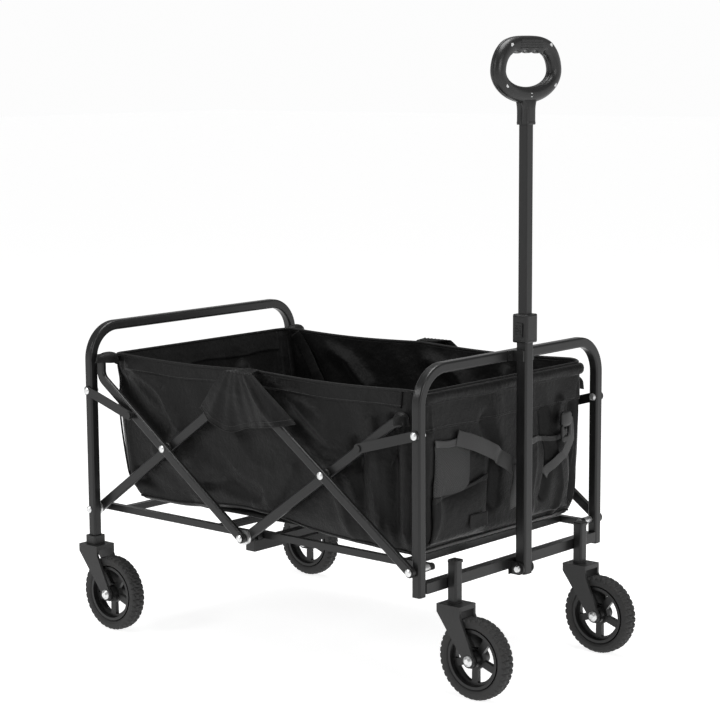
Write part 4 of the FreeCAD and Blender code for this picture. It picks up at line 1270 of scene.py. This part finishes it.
        self.strip("pocket_left_binding", share, high, low, 0.0034, 0.0014, "webbing", rows=6)

    def ribbon(
        self, name: str, wall: Wall, route: Sequence[Sequence[float]], width: float, finish: str = "webbing"
    ) -> None:
        """Webbing over a wall.

        Args:
            name: piece name.
            wall: wall that it lies on.
            route: (distance along the wall, height, lift) points.
            width: its width.
            finish: material name.
        """
        line = smooth_path(route, 90)
        share = self.share_of(wall, line[:, 0])
        path = self.skin(share, self.wall_of(line[:, 1]), line[:, 2])
        _, out = self.ring(share)
        up = outward_rows(out)
        piece = sweep(name, path, up, rounded_strip(width, 0.0016))
        finish_piece(piece, self.finishes[finish], "top_hub", folds=True)

    def front_straps(self) -> None:
        """Closing strap that hangs across the front, its loose end and its side-release buckle."""
        self.ribbon(
            "closing_strap",
            Wall.FRONT,
            ((-0.140, 0.434, 0.004), (-0.100, 0.420, 0.014), (-0.040, 0.392, 0.020), (0.004, 0.362, 0.020)),
            0.027,
        )
        self.ribbon(
            "closing_strap_end",
            Wall.FRONT,
            ((0.004, 0.372, 0.022), (0.006, 0.345, 0.020), (0.004, 0.315, 0.017), (0.008, 0.292, 0.014)),
            0.022,
        )
        self.ribbon(
            "closing_strap_left",
            Wall.FRONT,
            ((0.172, 0.430, 0.014), (0.165, 0.400, 0.019), (0.140, 0.366, 0.020), (0.106, 0.334, 0.018)),
            0.020,
        )
        self.buckle()

    def buckle(self) -> None:
        """Side-release buckle: a rounded body with two prongs and a bar, each a rounded strip."""
        spot = float(self.share_of(Wall.FRONT, 0.150))
        base = self.skin(np.array([spot]), self.wall_of(np.array([0.420])), 0.012)[0]
        pieces = []
        for dy, dz, length, width in (
            (0.0, 0.010, 0.026, 0.030),
            (-0.011, -0.012, 0.022, 0.007),
            (0.011, -0.012, 0.022, 0.007),
            (0.0, -0.026, 0.010, 0.028),
        ):
            z = np.linspace(-length / 2, length / 2, 12)
            path = base + np.stack([0.002 * np.cos(z * 60), np.full(12, dy), z + dz], -1)
            ends = np.array([0.55, 0.85, 1, 1, 1, 1, 1, 1, 1, 1, 0.85, 0.55])
            section = rounded_strip(width, 0.006)
            up = np.tile([1.0, 0.0, 0.0], (12, 1))
            part = sweep("buckle_part", path, up, section)
            co = np.array([v.co for v in part.data.vertices])
            rows = co.reshape(12, -1, 3)
            rows[..., 1] = path[:, None, 1] + (rows[..., 1] - path[:, None, 1]) * ends[:, None]
            part.data.vertices.foreach_set("co", rows.reshape(-1).astype(np.float32))
            pieces.append(part)
        body = join("strap_buckle", pieces)
        finish_piece(body, self.finishes["plastic"], "top_hub", folds=True)

    def lining_straps(self) -> None:
        """Webbing down the inside of the sides and ends, and the band turned over the rear wall's inside."""
        routes = {
            "rear": ((-0.392, 0.512), (-0.352, 0.440), (-0.315, 0.360), (-0.285, 0.290)),
            "front": ((0.290, 0.505), (0.262, 0.440), (0.232, 0.360), (0.205, 0.290)),
        }
        sunk = (-0.006, -0.007, -0.007, -0.006)
        for wall, name in ((Wall.LEFT, "left"), (Wall.RIGHT, "right")):
            for end, spots in routes.items():
                route = [(*spot, lift) for spot, lift in zip(spots, sunk)]
                self.ribbon(f"lining_strap_{name}_{end}", wall, route, 0.024, "lining")
        reach = self.half - 0.02
        share = np.linspace(-reach, reach, 100) / self.perimeter
        waver = 0.002 * np.sin(np.linspace(0, 17, 100))
        step = np.linspace(0, 1, 12)[:, None]
        level = (self.top + 0.001) + (-0.040 + waver - 0.001)[None] * step
        s = np.broadcast_to(share[None], level.shape)
        points = self.skin(s, self.wall_of(level), -self.cloth - 0.0012)
        uv = np.stack([s * self.perimeter, self.top - level], -1)
        piece = grid("lining_band_rear", points, uv, flip=True)
        thicken(piece, 0.0015)
        finish_piece(piece, self.finishes["lining"], "top_hub", folds=True)

    def floor_mat(self) -> None:
        """Padded floor mat: four stiffened panels between sewn channels, each slightly crowned."""
        x = np.linspace(self.rear_low + 0.022, self.front_low - 0.020, 170)
        y = np.linspace(-self.half + 0.024, self.half - 0.024, 90)
        grid_x, grid_y = np.meshgrid(x, y, indexing="ij")
        share = (grid_x - x[0]) / (x[-1] - x[0])
        panel = np.abs((share * 4) % 1.0 - 0.5) * 2
        crown = (1 - panel**8) * 0.0035
        rim = np.minimum.reduce([share, 1 - share, (grid_y - y[0]) / 0.5, (y[-1] - grid_y) / 0.5])
        edge = 1 - np.clip(1 - rim / 0.02, 0, 1) ** 2
        wave = 0.0007 * np.sin(grid_x * 60 + grid_y * 18) * np.sin(grid_y * 47)
        z = self.floor + 0.0055 + edge * (0.004 + crown) + wave
        points = np.stack([grid_x, grid_y, z], -1)
        uv = points[..., :2]
        mat = grid("floor_mat", points, uv, flip=True)
        thicken(mat, 0.0022)
        tip_up(mat)
        finish_piece(mat, self.finishes["lining"], "top_hub", folds=True)


def tip_up(piece: bpy.types.Object) -> None:
    """Turns an open sheet's faces upwards if they point down."""
    if sum(face.normal.z * face.area for face in piece.data.polygons) < 0:
        piece.data.flip_normals()


def join(name: str, parts: list[bpy.types.Object]) -> bpy.types.Object:
    """One object from several, with their meshes added up."""
    shape = bmesh.new()
    for part in parts:
        shape.from_mesh(part.data)
    whole = bpy.data.meshes.new(name)
    shape.to_mesh(whole)
    shape.free()
    for part in parts:
        bpy.data.meshes.remove(part.data)
    piece = bpy.data.objects.new(name, whole)
    bpy.context.scene.collection.objects.link(piece)
    return piece


# ------------------------------------------------------------------ cloth over the hubs and bar tips


HEM_STEPS = np.linspace(-0.15, 1.15, 521)
HEM_ROUGH = np.interp(
    HEM_STEPS,
    (0.0, 0.10, 0.22, 0.32, 0.44, 0.66, 0.86, 1.0),
    (0.450, 0.434, 0.413, 0.411, 0.421, 0.430, 0.437, 0.444),
)
HEM_WINDOW = np.hanning(49) / np.hanning(49).sum()
HEM_PLACES = HEM_STEPS[24:-24]
HEM_LEVELS = np.convolve(HEM_ROUGH, HEM_WINDOW, "valid")


@dataclass
class HubTent:
    """Cloth tent sewn to the rim, which hangs over the two bars that meet at a top hub."""

    finishes: Finishes
    side: int
    name: str
    head_half: float = 0.013
    left: float = -0.156
    right: float = 0.074
    cloth: float = 0.0015

    def surface(self, across: np.ndarray, down: np.ndarray) -> np.ndarray:
        """Points of the tent.

        It leaves the rim level, turns down past the hub, then falls in ridges over the bars
        with a hollow between them; its hem dips in the rear half.

        Args:
            across: 0 at the rear edge to 1 at the front edge.
            down: 0 at the rim to 1 at the hem.

        Returns:
            (..., 3) points.
        """
        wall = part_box("basket_side_left")
        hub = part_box("top_hub_left")
        middle = (hub[0].x + hub[1].x) / 2
        top = wall[1].z + 0.0026
        spread = down**0.86
        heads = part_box("bar_c_rivets")
        proud = max(hub[1].y, heads[1].y) + 0.0016 - wall[1].y
        head = middle + (across * 2 - 1) * self.head_half
        hem = self.left + across * (self.right - self.left)
        x = head + (hem - head) * spread
        hem_z = np.interp(across, HEM_PLACES, HEM_LEVELS)
        fall = np.clip((down - 0.15) / 0.85, 0, 1)
        gather = 0.0016 * np.sin(across * 46) * np.exp(-down * 3.5)
        z = top + (hem_z - top) * fall + gather
        hollow = np.exp(-(((across - 0.40) / 0.15) ** 2)) + 0.45 * np.exp(-(((across - 1.0) / 0.08) ** 2))
        hollow = hollow + 0.4 * np.exp(-(((across - 0.0) / 0.05) ** 2))
        folds = 0.0022 * np.sin(across * 19 + 0.7) + 0.0014 * np.sin(across * 43 + 2.1)
        ridge = 0.0085 * np.exp(-(((across - 0.66 - 0.16 * down) / 0.050) ** 2))
        ridge = ridge + 0.0030 * np.exp(-(((across - 0.14) / 0.05) ** 2))
        out = proud * np.sin(np.clip(down / 0.17, 0, 1) * np.pi / 2)
        out = out + (folds + ridge) * np.clip(down - 0.12, 0, 1) * 1.15
        out = out - 0.019 * hollow * np.clip(down - 0.46, 0, 1) * 1.7
        y = self.side * (wall[1].y - 0.0012 + out)
        return np.stack([x, y, z], -1)

    def build(self) -> None:
        """Makes the tent, its turned hem and its stitches."""
        across, down = np.linspace(0, 1, 110), np.linspace(0, 1, 80)
        a, d = np.meshgrid(across, down, indexing="xy")
        points = self.surface(a, d)
        uv = np.stack([a * 0.2, d * 0.14], -1)
        tent = grid(f"hub_tent_{self.name}", points, uv, flip=self.side > 0)
        thicken(tent, self.cloth)
        finish_piece(tent, self.finishes["cloth"], "top_hub", folds=True)
        path = self.surface(across, np.full(110, 0.925))
        up = np.tile([0.0, float(self.side), 0.0], (110, 1))
        row = stitches(f"hub_tent_stitches_{self.name}", path + up * 0.0003, up)
        finish_piece(row, self.finishes["thread"], "top_hub", folds=True)
        edge = self.surface(across, np.full(110, 1.0))
        hem = sweep(f"hub_tent_hem_{self.name}", edge - up * 0.0007, up, round_section(0.0015, 8))
        finish_piece(hem, self.finishes["lining"], "top_hub", folds=True)
        self.replaced()

    def replaced(self) -> None:
        """Both tents stand for the one CAD node."""
        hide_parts("hub_flaps")


@dataclass
class TipSleeve:
    """Sewn sleeve that holds the upright tip of a scissor bar at a corner of the rim."""

    finishes: Finishes
    node: str
    body: str
    wide: float
    deep: float
    drop: float
    inset: float

    def build(self) -> None:
        """Makes the sleeve: ovals that widen to a wavy mouth, closed by a domed top."""
        low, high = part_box(self.node)
        rearwards = "bar_a" in self.node
        tip_x = low.x + 0.012 if rearwards else high.x - 0.012
        tip_y = (low.y + high.y) / 2
        tip_y += self.inset * math.copysign(1.0, tip_y)
        top = high.z + 0.004
        step = np.linspace(0, 1, 40)[:, None]
        angle = np.linspace(0, 2 * np.pi, 48, endpoint=False)[None]
        dome = np.sqrt(np.clip(1 - (1 - step / 0.55).clip(0, 1) ** 2, 0, 1)) + 0.0 * angle
        flare = 1 + 0.14 * step**2 + 0.05 * step * np.sin(angle * 3 + 1.0)
        fold = 1 + 0.035 * np.sin(angle * 5 + step * 3) * step
        x = tip_x + self.wide * dome * flare * fold * np.cos(angle)
        y = tip_y + self.deep * dome * flare * fold * np.sin(angle)
        mouth = self.drop * (1 + 0.08 * np.sin(angle * 2 + 0.6))
        z = top - mouth * step + 0.0 * angle
        points = np.stack([x, y, z], -1)[::-1]
        length = 2 * np.pi * math.hypot(self.wide, self.deep) / math.sqrt(2)
        uv = np.stack(np.broadcast_arrays(np.linspace(0, length, 49)[None], step * self.drop), -1)
        name = self.node.replace("bar_", "tip_sleeve_")
        sleeve = grid(name, points, uv, around=True, hub=np.array([tip_x, tip_y, top]), flip=True)
        outwards(sleeve)
        thicken(sleeve, 0.0014)
        finish_piece(sleeve, self.finishes["cloth"], self.body)


def outwards(piece: bpy.types.Object) -> None:
    """Turns an open shell's faces away from its middle."""
    mesh = piece.data
    middle = np.array([v.co for v in mesh.vertices]).mean(0)
    total = sum(float(np.dot(np.array(f.center) - middle, f.normal)) * f.area for f in mesh.polygons)
    if total < 0:
        mesh.flip_normals()


# ------------------------------------------------------------------ wheels and trim


@dataclass
class Tyre:
    """Solid rubber tyre with a block tread, in place of a plain CAD ring."""

    finishes: Finishes
    node: str
    rim: str
    body: str
    blocks: int = 38
    groove: float = 0.0026

    def build(self) -> None:
        """Makes the tyre: an oval section whose crown sinks at the grooves between staggered blocks."""
        low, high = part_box(self.node)
        rim_low, rim_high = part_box(self.rim)
        centre = np.array([(low.x + high.x) / 2, (low.y + high.y) / 2, (low.z + high.z) / 2])
        outer, half = (high.z - low.z) / 2, (high.y - low.y) / 2
        inner = (rim_high.z - rim_low.z) / 2 - 0.0005
        middle, tall = (outer + inner) / 2, (outer - inner) / 2
        angle = np.linspace(0, 2 * np.pi, 456, endpoint=False)[None]
        section = np.linspace(0, 2 * np.pi, 64)[:, None]
        power = 0.62
        across = squared(np.sin(section), power)
        height = squared(np.cos(section), power)
        radius = middle + tall * height + 0.0 * angle
        side = half * across * (1 - 0.10 * np.clip(-height, 0, 1))
        pitch = angle * self.blocks / (2 * np.pi)
        stagger = np.where(side > 0, 0.5, 0.0)
        zig = 0.17 * np.abs(((side / half * 2.2) % 2) - 1)
        phase = (pitch + stagger + zig) % 1.0
        cross = np.clip(np.abs(phase - 0.5) * 2 * 2.6 - 1.5, 0, 1)
        centre_line = 0.12 * np.sin(2 * np.pi * pitch)
        middle_groove = np.clip(1.8 - np.abs(side / half - centre_line) * 13, 0, 1)
        sway = 0.10 * np.sin(2 * np.pi * pitch)
        shoulder_line = np.clip(1.6 - np.abs(np.abs(side / half) - 0.62 + sway) * 15, 0, 1)
        sunk = np.maximum(np.maximum(cross, middle_groove), 0.8 * shoulder_line)
        crown = np.clip((height - 0.30) / 0.35, 0, 1)
        radius = radius - self.groove * sunk * crown
        wall = np.clip(1 - np.abs(height) / 0.75, 0, 1) * np.abs(across)
        ribs = 0.00035 * np.cos(radius * 2 * np.pi / 0.0034) * wall * np.sign(across)
        x = centre[0] + radius * np.cos(angle)
        y = centre[1] + side + ribs + 0.0 * angle
        z = centre[2] + radius * np.sin(angle)
        points = np.stack([x, y + 0 * x, z], -1)
        name = self.node.replace("tyre", "treaded_tyre")
        tyre = grid(name, points, around=True)
        tidy(tyre)
        finish_piece(tyre, self.finishes["tyre"], self.body)
        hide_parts(self.node)


@dataclass
class PivotSpacers:
    """Plastic washers between the two lanes of bars at each crossing."""

    finishes: Finishes
    radius: float = 0.0105
    bore: float = 0.0042
    inner: float = 0.2592
    outer: float = 0.2648

    def build(self) -> None:
        """Makes one washer for each crossing and side: a rounded ring turned about its pivot."""
        top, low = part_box("top_hub_left"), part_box("bottom_pins")
        rear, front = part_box("rear_u_frame"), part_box("front_u_frame")
        mid = (top[0].x + top[1].x) / 2
        upper, lower = (top[0].z + top[1].z) / 2, (low[0].z + low[1].z) / 2
        level = (upper + lower) / 2
        rear_x = (rear[0].x + rear[1].x) / 2 - 0.005
        front_x = (front[0].x + front[1].x) / 2 - 0.005
        spots = {
            "rear": ((mid + rear_x) / 2, level, "bars_a"),
            "front": ((mid + front_x) / 2, level, "bars_c"),
            "top": (mid, upper, "top_hub"),
            "bottom": (mid, lower, "bottom_hub"),
        }
        e = 0.0009
        profile = np.array(
            [
                (self.bore, self.inner),
                (self.radius - e, self.inner),
                (self.radius, self.inner + e),
                (self.radius, self.outer - e),
                (self.radius - e, self.outer),
                (self.bore, self.outer),
            ]
        )
        for name, (x, z, body) in spots.items():
            for side, hand in ((-1, "right"), (1, "left")):
                ring = lathe(f"spacer_{name}_{hand}", profile, (x, 0.0, z), (0.0, side, 0.0), 36)
                finish_piece(ring, self.finishes["plastic"], body)


@dataclass
class LoopGrip:
    """Moulded loop grip: two rounded half shells, thick as a finger all round, with a squarer hand bar."""

    finishes: Finishes
    wall: float = 0.0270
    seam: float = 0.0003

    def measure(self) -> "LoopGrip":
        """Reads the loop's size from the CAD shells."""
        front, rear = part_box("grip_front"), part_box("grip_rear")
        self.low, self.high = front[0].z, front[1].z
        self.half = front[1].y
        self.depth = (front[1].x - rear[0].x) / 2
        self.centre_x = (front[1].x + rear[0].x) / 2
        self.ring_low = self.high - 0.1120
        self.mid = (self.high + self.ring_low) / 2 - 0.002
        return self

    def outlines(self, turn: np.ndarray) -> tuple[np.ndarray, np.ndarray]:
        """Outer and inner outlines at angles round the loop.

        Each is a super-ellipse whose power is larger above the middle, so that the top is flatter;
        the inner one has finger waves along its top.

        Args:
            turn: angle from +Y.

        Returns:
            Outer and inner (..., 2) points of (Y, Z).
        """
        upper = np.clip(np.sin(turn) * 1.5, 0, 1)
        result = []
        above, under = self.high - self.mid, self.mid - self.ring_low
        for inset, flat in ((0.0, 0.62), (self.wall, 1.3)):
            wide, up, down = self.half - inset, above - inset, under - inset
            power = 2.0 + flat * upper
            tall = np.where(np.sin(turn) > 0, up, down)
            flat_share, tall_share = np.abs(np.cos(turn) / wide), np.abs(np.sin(turn) / tall)
            reach = (flat_share**power + tall_share**power) ** (-1 / power)
            result.append(np.stack([reach * np.cos(turn), self.mid + reach * np.sin(turn)], -1))
        inner = result[1]
        waved = np.clip((inner[..., 1] - self.high + self.wall + 0.006) / 0.004, 0, 1)
        inner[..., 1] -= waved * 0.0022 * np.cos(inner[..., 0] * 2 * np.pi / 0.0265)
        return result[0], inner

    def shell(self, name: str, sign: float) -> bpy.types.Object:
        """One half shell: at each angle round the loop, half an oval joins the two outlines."""
        turn = np.linspace(0, 2 * np.pi, 220, endpoint=False)
        outer, inner = self.outlines(turn)
        round_it = np.linspace(0, np.pi, 27)[:, None]
        top = np.clip(np.sin(turn) * 2.2 - 1.1, 0, 1)[None]
        power = 0.88 - 0.34 * top
        swing = squared(np.cos(round_it), power)
        depth = np.abs(np.sin(round_it)) ** power
        share = (1 + swing) / 2
        y = inner[None, :, 0] + (outer - inner)[None, :, 0] * share
        z = inner[None, :, 1] + (outer - inner)[None, :, 1] * share
        x = self.centre_x + sign * (self.seam + (self.depth - self.seam) * depth)
        points = np.stack([x + 0 * y, y, z], -1)
        points = np.concatenate([points, points[:1]])
        piece = grid(name, points, around=True)
        tidy(piece)
        return piece

    def neck(self, name: str, sign: float) -> bpy.types.Object:
        """Half of the square socket, flaring into the loop at its top."""
        level = np.linspace(self.low, self.ring_low + 0.012, 40)[:, None]
        flare = np.clip((level - self.ring_low + 0.014) / 0.026, 0, 1) ** 2
        angle = np.linspace(-np.pi / 2, np.pi / 2, 40)[None]
        power = 0.36
        wide = (0.0125 + 0.014 * flare) * squared(np.sin(angle), power)
        deep = (0.0122 - 0.004 * flare) * np.abs(np.cos(angle)) ** power
        bead = 0.0006 * np.exp(-(((level - self.low - 0.003) / 0.0018) ** 2))
        x = self.centre_x + sign * (self.seam + deep + bead)
        points = np.stack([x + 0 * level, wide + 0 * level, level + 0 * wide], -1)
        flat = points.copy()
        flat[..., 0] = self.centre_x + sign * self.seam
        ring = np.concatenate([points, flat[:, ::-1][:, 1:-1]], 1)
        piece = grid(name, ring, around=True)
        cap(piece, [list(range(ring.shape[1])), list(range(39 * ring.shape[1], 40 * ring.shape[1]))[::-1]])
        return piece

    def ribs(self, sign: float) -> list[bpy.types.Object]:
        """Four long finger ribs along the hand bar's face, each a run of small rounded steps."""
        parts = []
        for row, level in enumerate(np.linspace(self.high - 0.0075, self.high - 0.0205, 4)):
            y = np.linspace(-0.031, 0.031, 150)
            proud = self.depth - 0.0004 + 0.00045 * np.abs(np.sin(y * np.pi / 0.0041 + row))
            path = np.stack([self.centre_x + sign * proud, y, np.full(150, level)], -1)
            up = np.tile([sign, 0.0, 0.0], (150, 1))
            parts.append(sweep("rib", path, up, round_section(0.0009, 8)))
        return parts

    def build(self) -> None:
        """Makes both halves and the ribs, in place of the CAD shells."""
        for name, sign in (("front", 1.0), ("rear", -1.0)):
            parts = [self.shell("loop", sign), self.neck("neck", sign), *self.ribs(sign)]
            piece = join(f"loop_grip_{name}", parts)
            finish_piece(piece, self.finishes["plastic"], "pole_upper")
            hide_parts(f"grip_{name}")


@dataclass
class PoleTrim:
    """Moulded ribs on the latch button and the collar of the pull pole."""

    finishes: Finishes

    def build(self) -> None:
        """Makes every set of ribs."""
        self.button_ribs()
        self.collar_bands()

    def button_ribs(self) -> None:
        """Five finger ribs across the latch button."""
        low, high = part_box("pole_button")
        parts = []
        for level in np.linspace(low.z + 0.005, high.z - 0.005, 5):
            x = np.linspace(low.x + 0.0022, high.x - 0.0022, 8)
            path = np.stack([x, np.full(8, low.y), np.full(8, level)], -1)
            up = np.tile([0.0, -1.0, 0.0], (8, 1))
            parts.append(sweep("rib", path, up, round_section(0.0007, 8)))
        ribs = join("button_ribs", parts)
        finish_piece(ribs, self.finishes["plastic"], "button")

    def collar_bands(self) -> None:
        """Two raised bands round the collar, following its rounded square."""
        low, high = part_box("pole_collar")
        cx, cy = (low.x + high.x) / 2, (low.y + high.y) / 2
        half_x, half_y = (high.x - low.x) / 2, (high.y - low.y) / 2
        angle = np.linspace(0, 2 * np.pi, 72, endpoint=False)
        power = 0.42
        sx = squared(np.cos(angle), power)
        sy = squared(np.sin(angle), power)
        for name, level in (("upper", high.z - 0.0035), ("lower", low.z + 0.0035)):
            path = np.stack([cx + half_x * sx * 0.985, cy + half_y * sy * 0.985, np.full(72, level)], -1)
            up = np.tile([0.0, 0.0, 1.0], (72, 1))
            band = sweep(f"collar_band_{name}", path, up, round_section(0.0010, 8), closed=True)
            finish_piece(band, self.finishes["plastic"], "pole_lower")


# ------------------------------------------------------------------ studio


@dataclass
class Studio:
    """Pale floor, soft boxes and the camera."""

    finishes: Finishes
    lens: float = 102.875
    spot: tuple[float, float, float] = (2.4269, -2.8155, 1.0567)
    azimuth: float = 40.95
    elevation: float = 8.27
    roll: float = -0.35
    dusk: float = 0.22

    def build(self) -> None:
        """Makes the floor, the lights and the camera."""
        self.floor()
        self.lights()
        self.camera()

    def floor(self) -> None:
        """Wide floor plane."""
        reach = np.linspace(-30, 30, 9)
        x, y = np.meshgrid(reach, reach, indexing="xy")
        plane = grid("studio_floor", np.stack([x, y, 0 * x], -1))
        tip_up(plane)
        plane.data.materials.append(self.finishes["floor"])

    def lights(self) -> None:
        """Bright even surroundings with an overhead box and two side boxes."""
        scene = bpy.context.scene
        world = bpy.data.worlds.new("studio_world")
        world.use_nodes = True
        tree = world.node_tree
        back = tree.nodes["Background"]
        height = tree.nodes.new("ShaderNodeSeparateXYZ")
        tree.links.new(tree.nodes.new("ShaderNodeTexCoord").outputs["Generated"], height.inputs[0])
        shade = tree.nodes.new("ShaderNodeValToRGB")
        stops = ((0.0, 0.98), (0.10, 0.98), (0.20, self.dusk), (0.72, self.dusk), (1.0, self.dusk * 1.6))
        while len(shade.color_ramp.elements) < len(stops):
            shade.color_ramp.elements.new(0.5)
        for element, (place, level) in zip(shade.color_ramp.elements, stops):
            element.position = place
            element.color = (level, level, level, 1.0)
        tree.links.new(height.outputs["Z"], shade.inputs[0])
        tree.links.new(shade.outputs[0], back.inputs["Color"])
        back.inputs["Strength"].default_value = 1.0
        scene.world = world
        scene.view_settings.view_transform = "Standard"
        boxes = (
            ("over_box", (0.1, 0.2, 3.2), (0.0, 0.0, 0.4), 2.4, 95.0),
            ("left_box", (-1.6, -3.2, 2.4), (-0.1, 0.0, 0.4), 1.3, 42.0),
            ("right_box", (3.4, -0.6, 1.7), (0.1, 0.0, 0.4), 1.2, 30.0),
        )
        for name, spot, aim, size, power in boxes:
            lamp = bpy.data.lights.new(name, "AREA")
            lamp.shape = "RECTANGLE"
            lamp.size, lamp.size_y = size, size * 0.7
            lamp.energy = power
            holder = bpy.data.objects.new(name, lamp)
            holder.matrix_world = facing(np.array(spot), np.array(aim))
            scene.collection.objects.link(holder)

    def camera(self) -> None:
        """Camera from its measured place, azimuth, elevation and roll."""
        az, el, tilt = (math.radians(v) for v in (self.azimuth, self.elevation, self.roll))
        back = np.array([math.sin(az) * math.cos(el), -math.cos(az) * math.cos(el), math.sin(el)])
        right = np.array([math.cos(az), math.sin(az), 0.0])
        up = np.cross(back, right)
        turned_right = math.cos(tilt) * right + math.sin(tilt) * up
        turned_up = -math.sin(tilt) * right + math.cos(tilt) * up
        lens = bpy.data.cameras.new("camera")
        lens.lens = self.lens
        lens.sensor_width = 36.0
        lens.clip_end = 100.0
        holder = bpy.data.objects.new("camera", lens)
        matrix = Matrix.Identity(4)
        for column, axis in enumerate((turned_right, turned_up, back, np.array(self.spot))):
            for row in range(3):
                matrix[row][column] = float(axis[row])
        holder.matrix_world = matrix
        bpy.context.scene.collection.objects.link(holder)
        bpy.context.scene.camera = holder


def facing(spot: np.ndarray, aim: np.ndarray) -> Matrix:
    """Placement at spot whose -Z axis points at aim."""
    back = unit(spot - aim)
    right = unit(np.cross([0.0, 0.0, 1.0], back))
    up = np.cross(back, right)
    matrix = Matrix.Identity(4)
    for column, axis in enumerate((right, up, back, spot)):
        for row in range(3):
            matrix[row][column] = float(axis[row])
    return matrix


def corners(box: Any) -> list[list[float]]:
    """A box as plain lists."""
    return [[float(v) for v in corner] for corner in box]


def main() -> None:
    """Builds the wagon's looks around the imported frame, in order."""
    logging.basicConfig(level=logging.INFO, format="%(message)s")
    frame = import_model()
    finishes = Finishes().build()
    Studio(finishes).build()
    PackedFrame(finishes, frame["record"], frame["nodes"]).dress()
    Tub(finishes).measure().build()
    for side, name in ((-1, "right"), (1, "left")):
        HubTent(finishes, side, name).build()
        TipSleeve(finishes, f"bar_a_{name}", "bars_a", 0.0125, 0.0240, 0.019, -0.0125).build()
        TipSleeve(finishes, f"bar_d_{name}", "bars_d", 0.0130, 0.0120, 0.022, -0.0035).build()
        Tyre(finishes, f"rear_tyre_{name}", f"rear_rim_{name}", f"rear_wheel_{name}").build()
        Tyre(finishes, f"front_tyre_{name}", f"front_rim_{name}", f"front_wheel_{name}").build()
    PivotSpacers(finishes).build()
    PoleTrim(finishes).build()
    LoopGrip(finishes).measure().build()


if __name__ == "__main__":
    main()
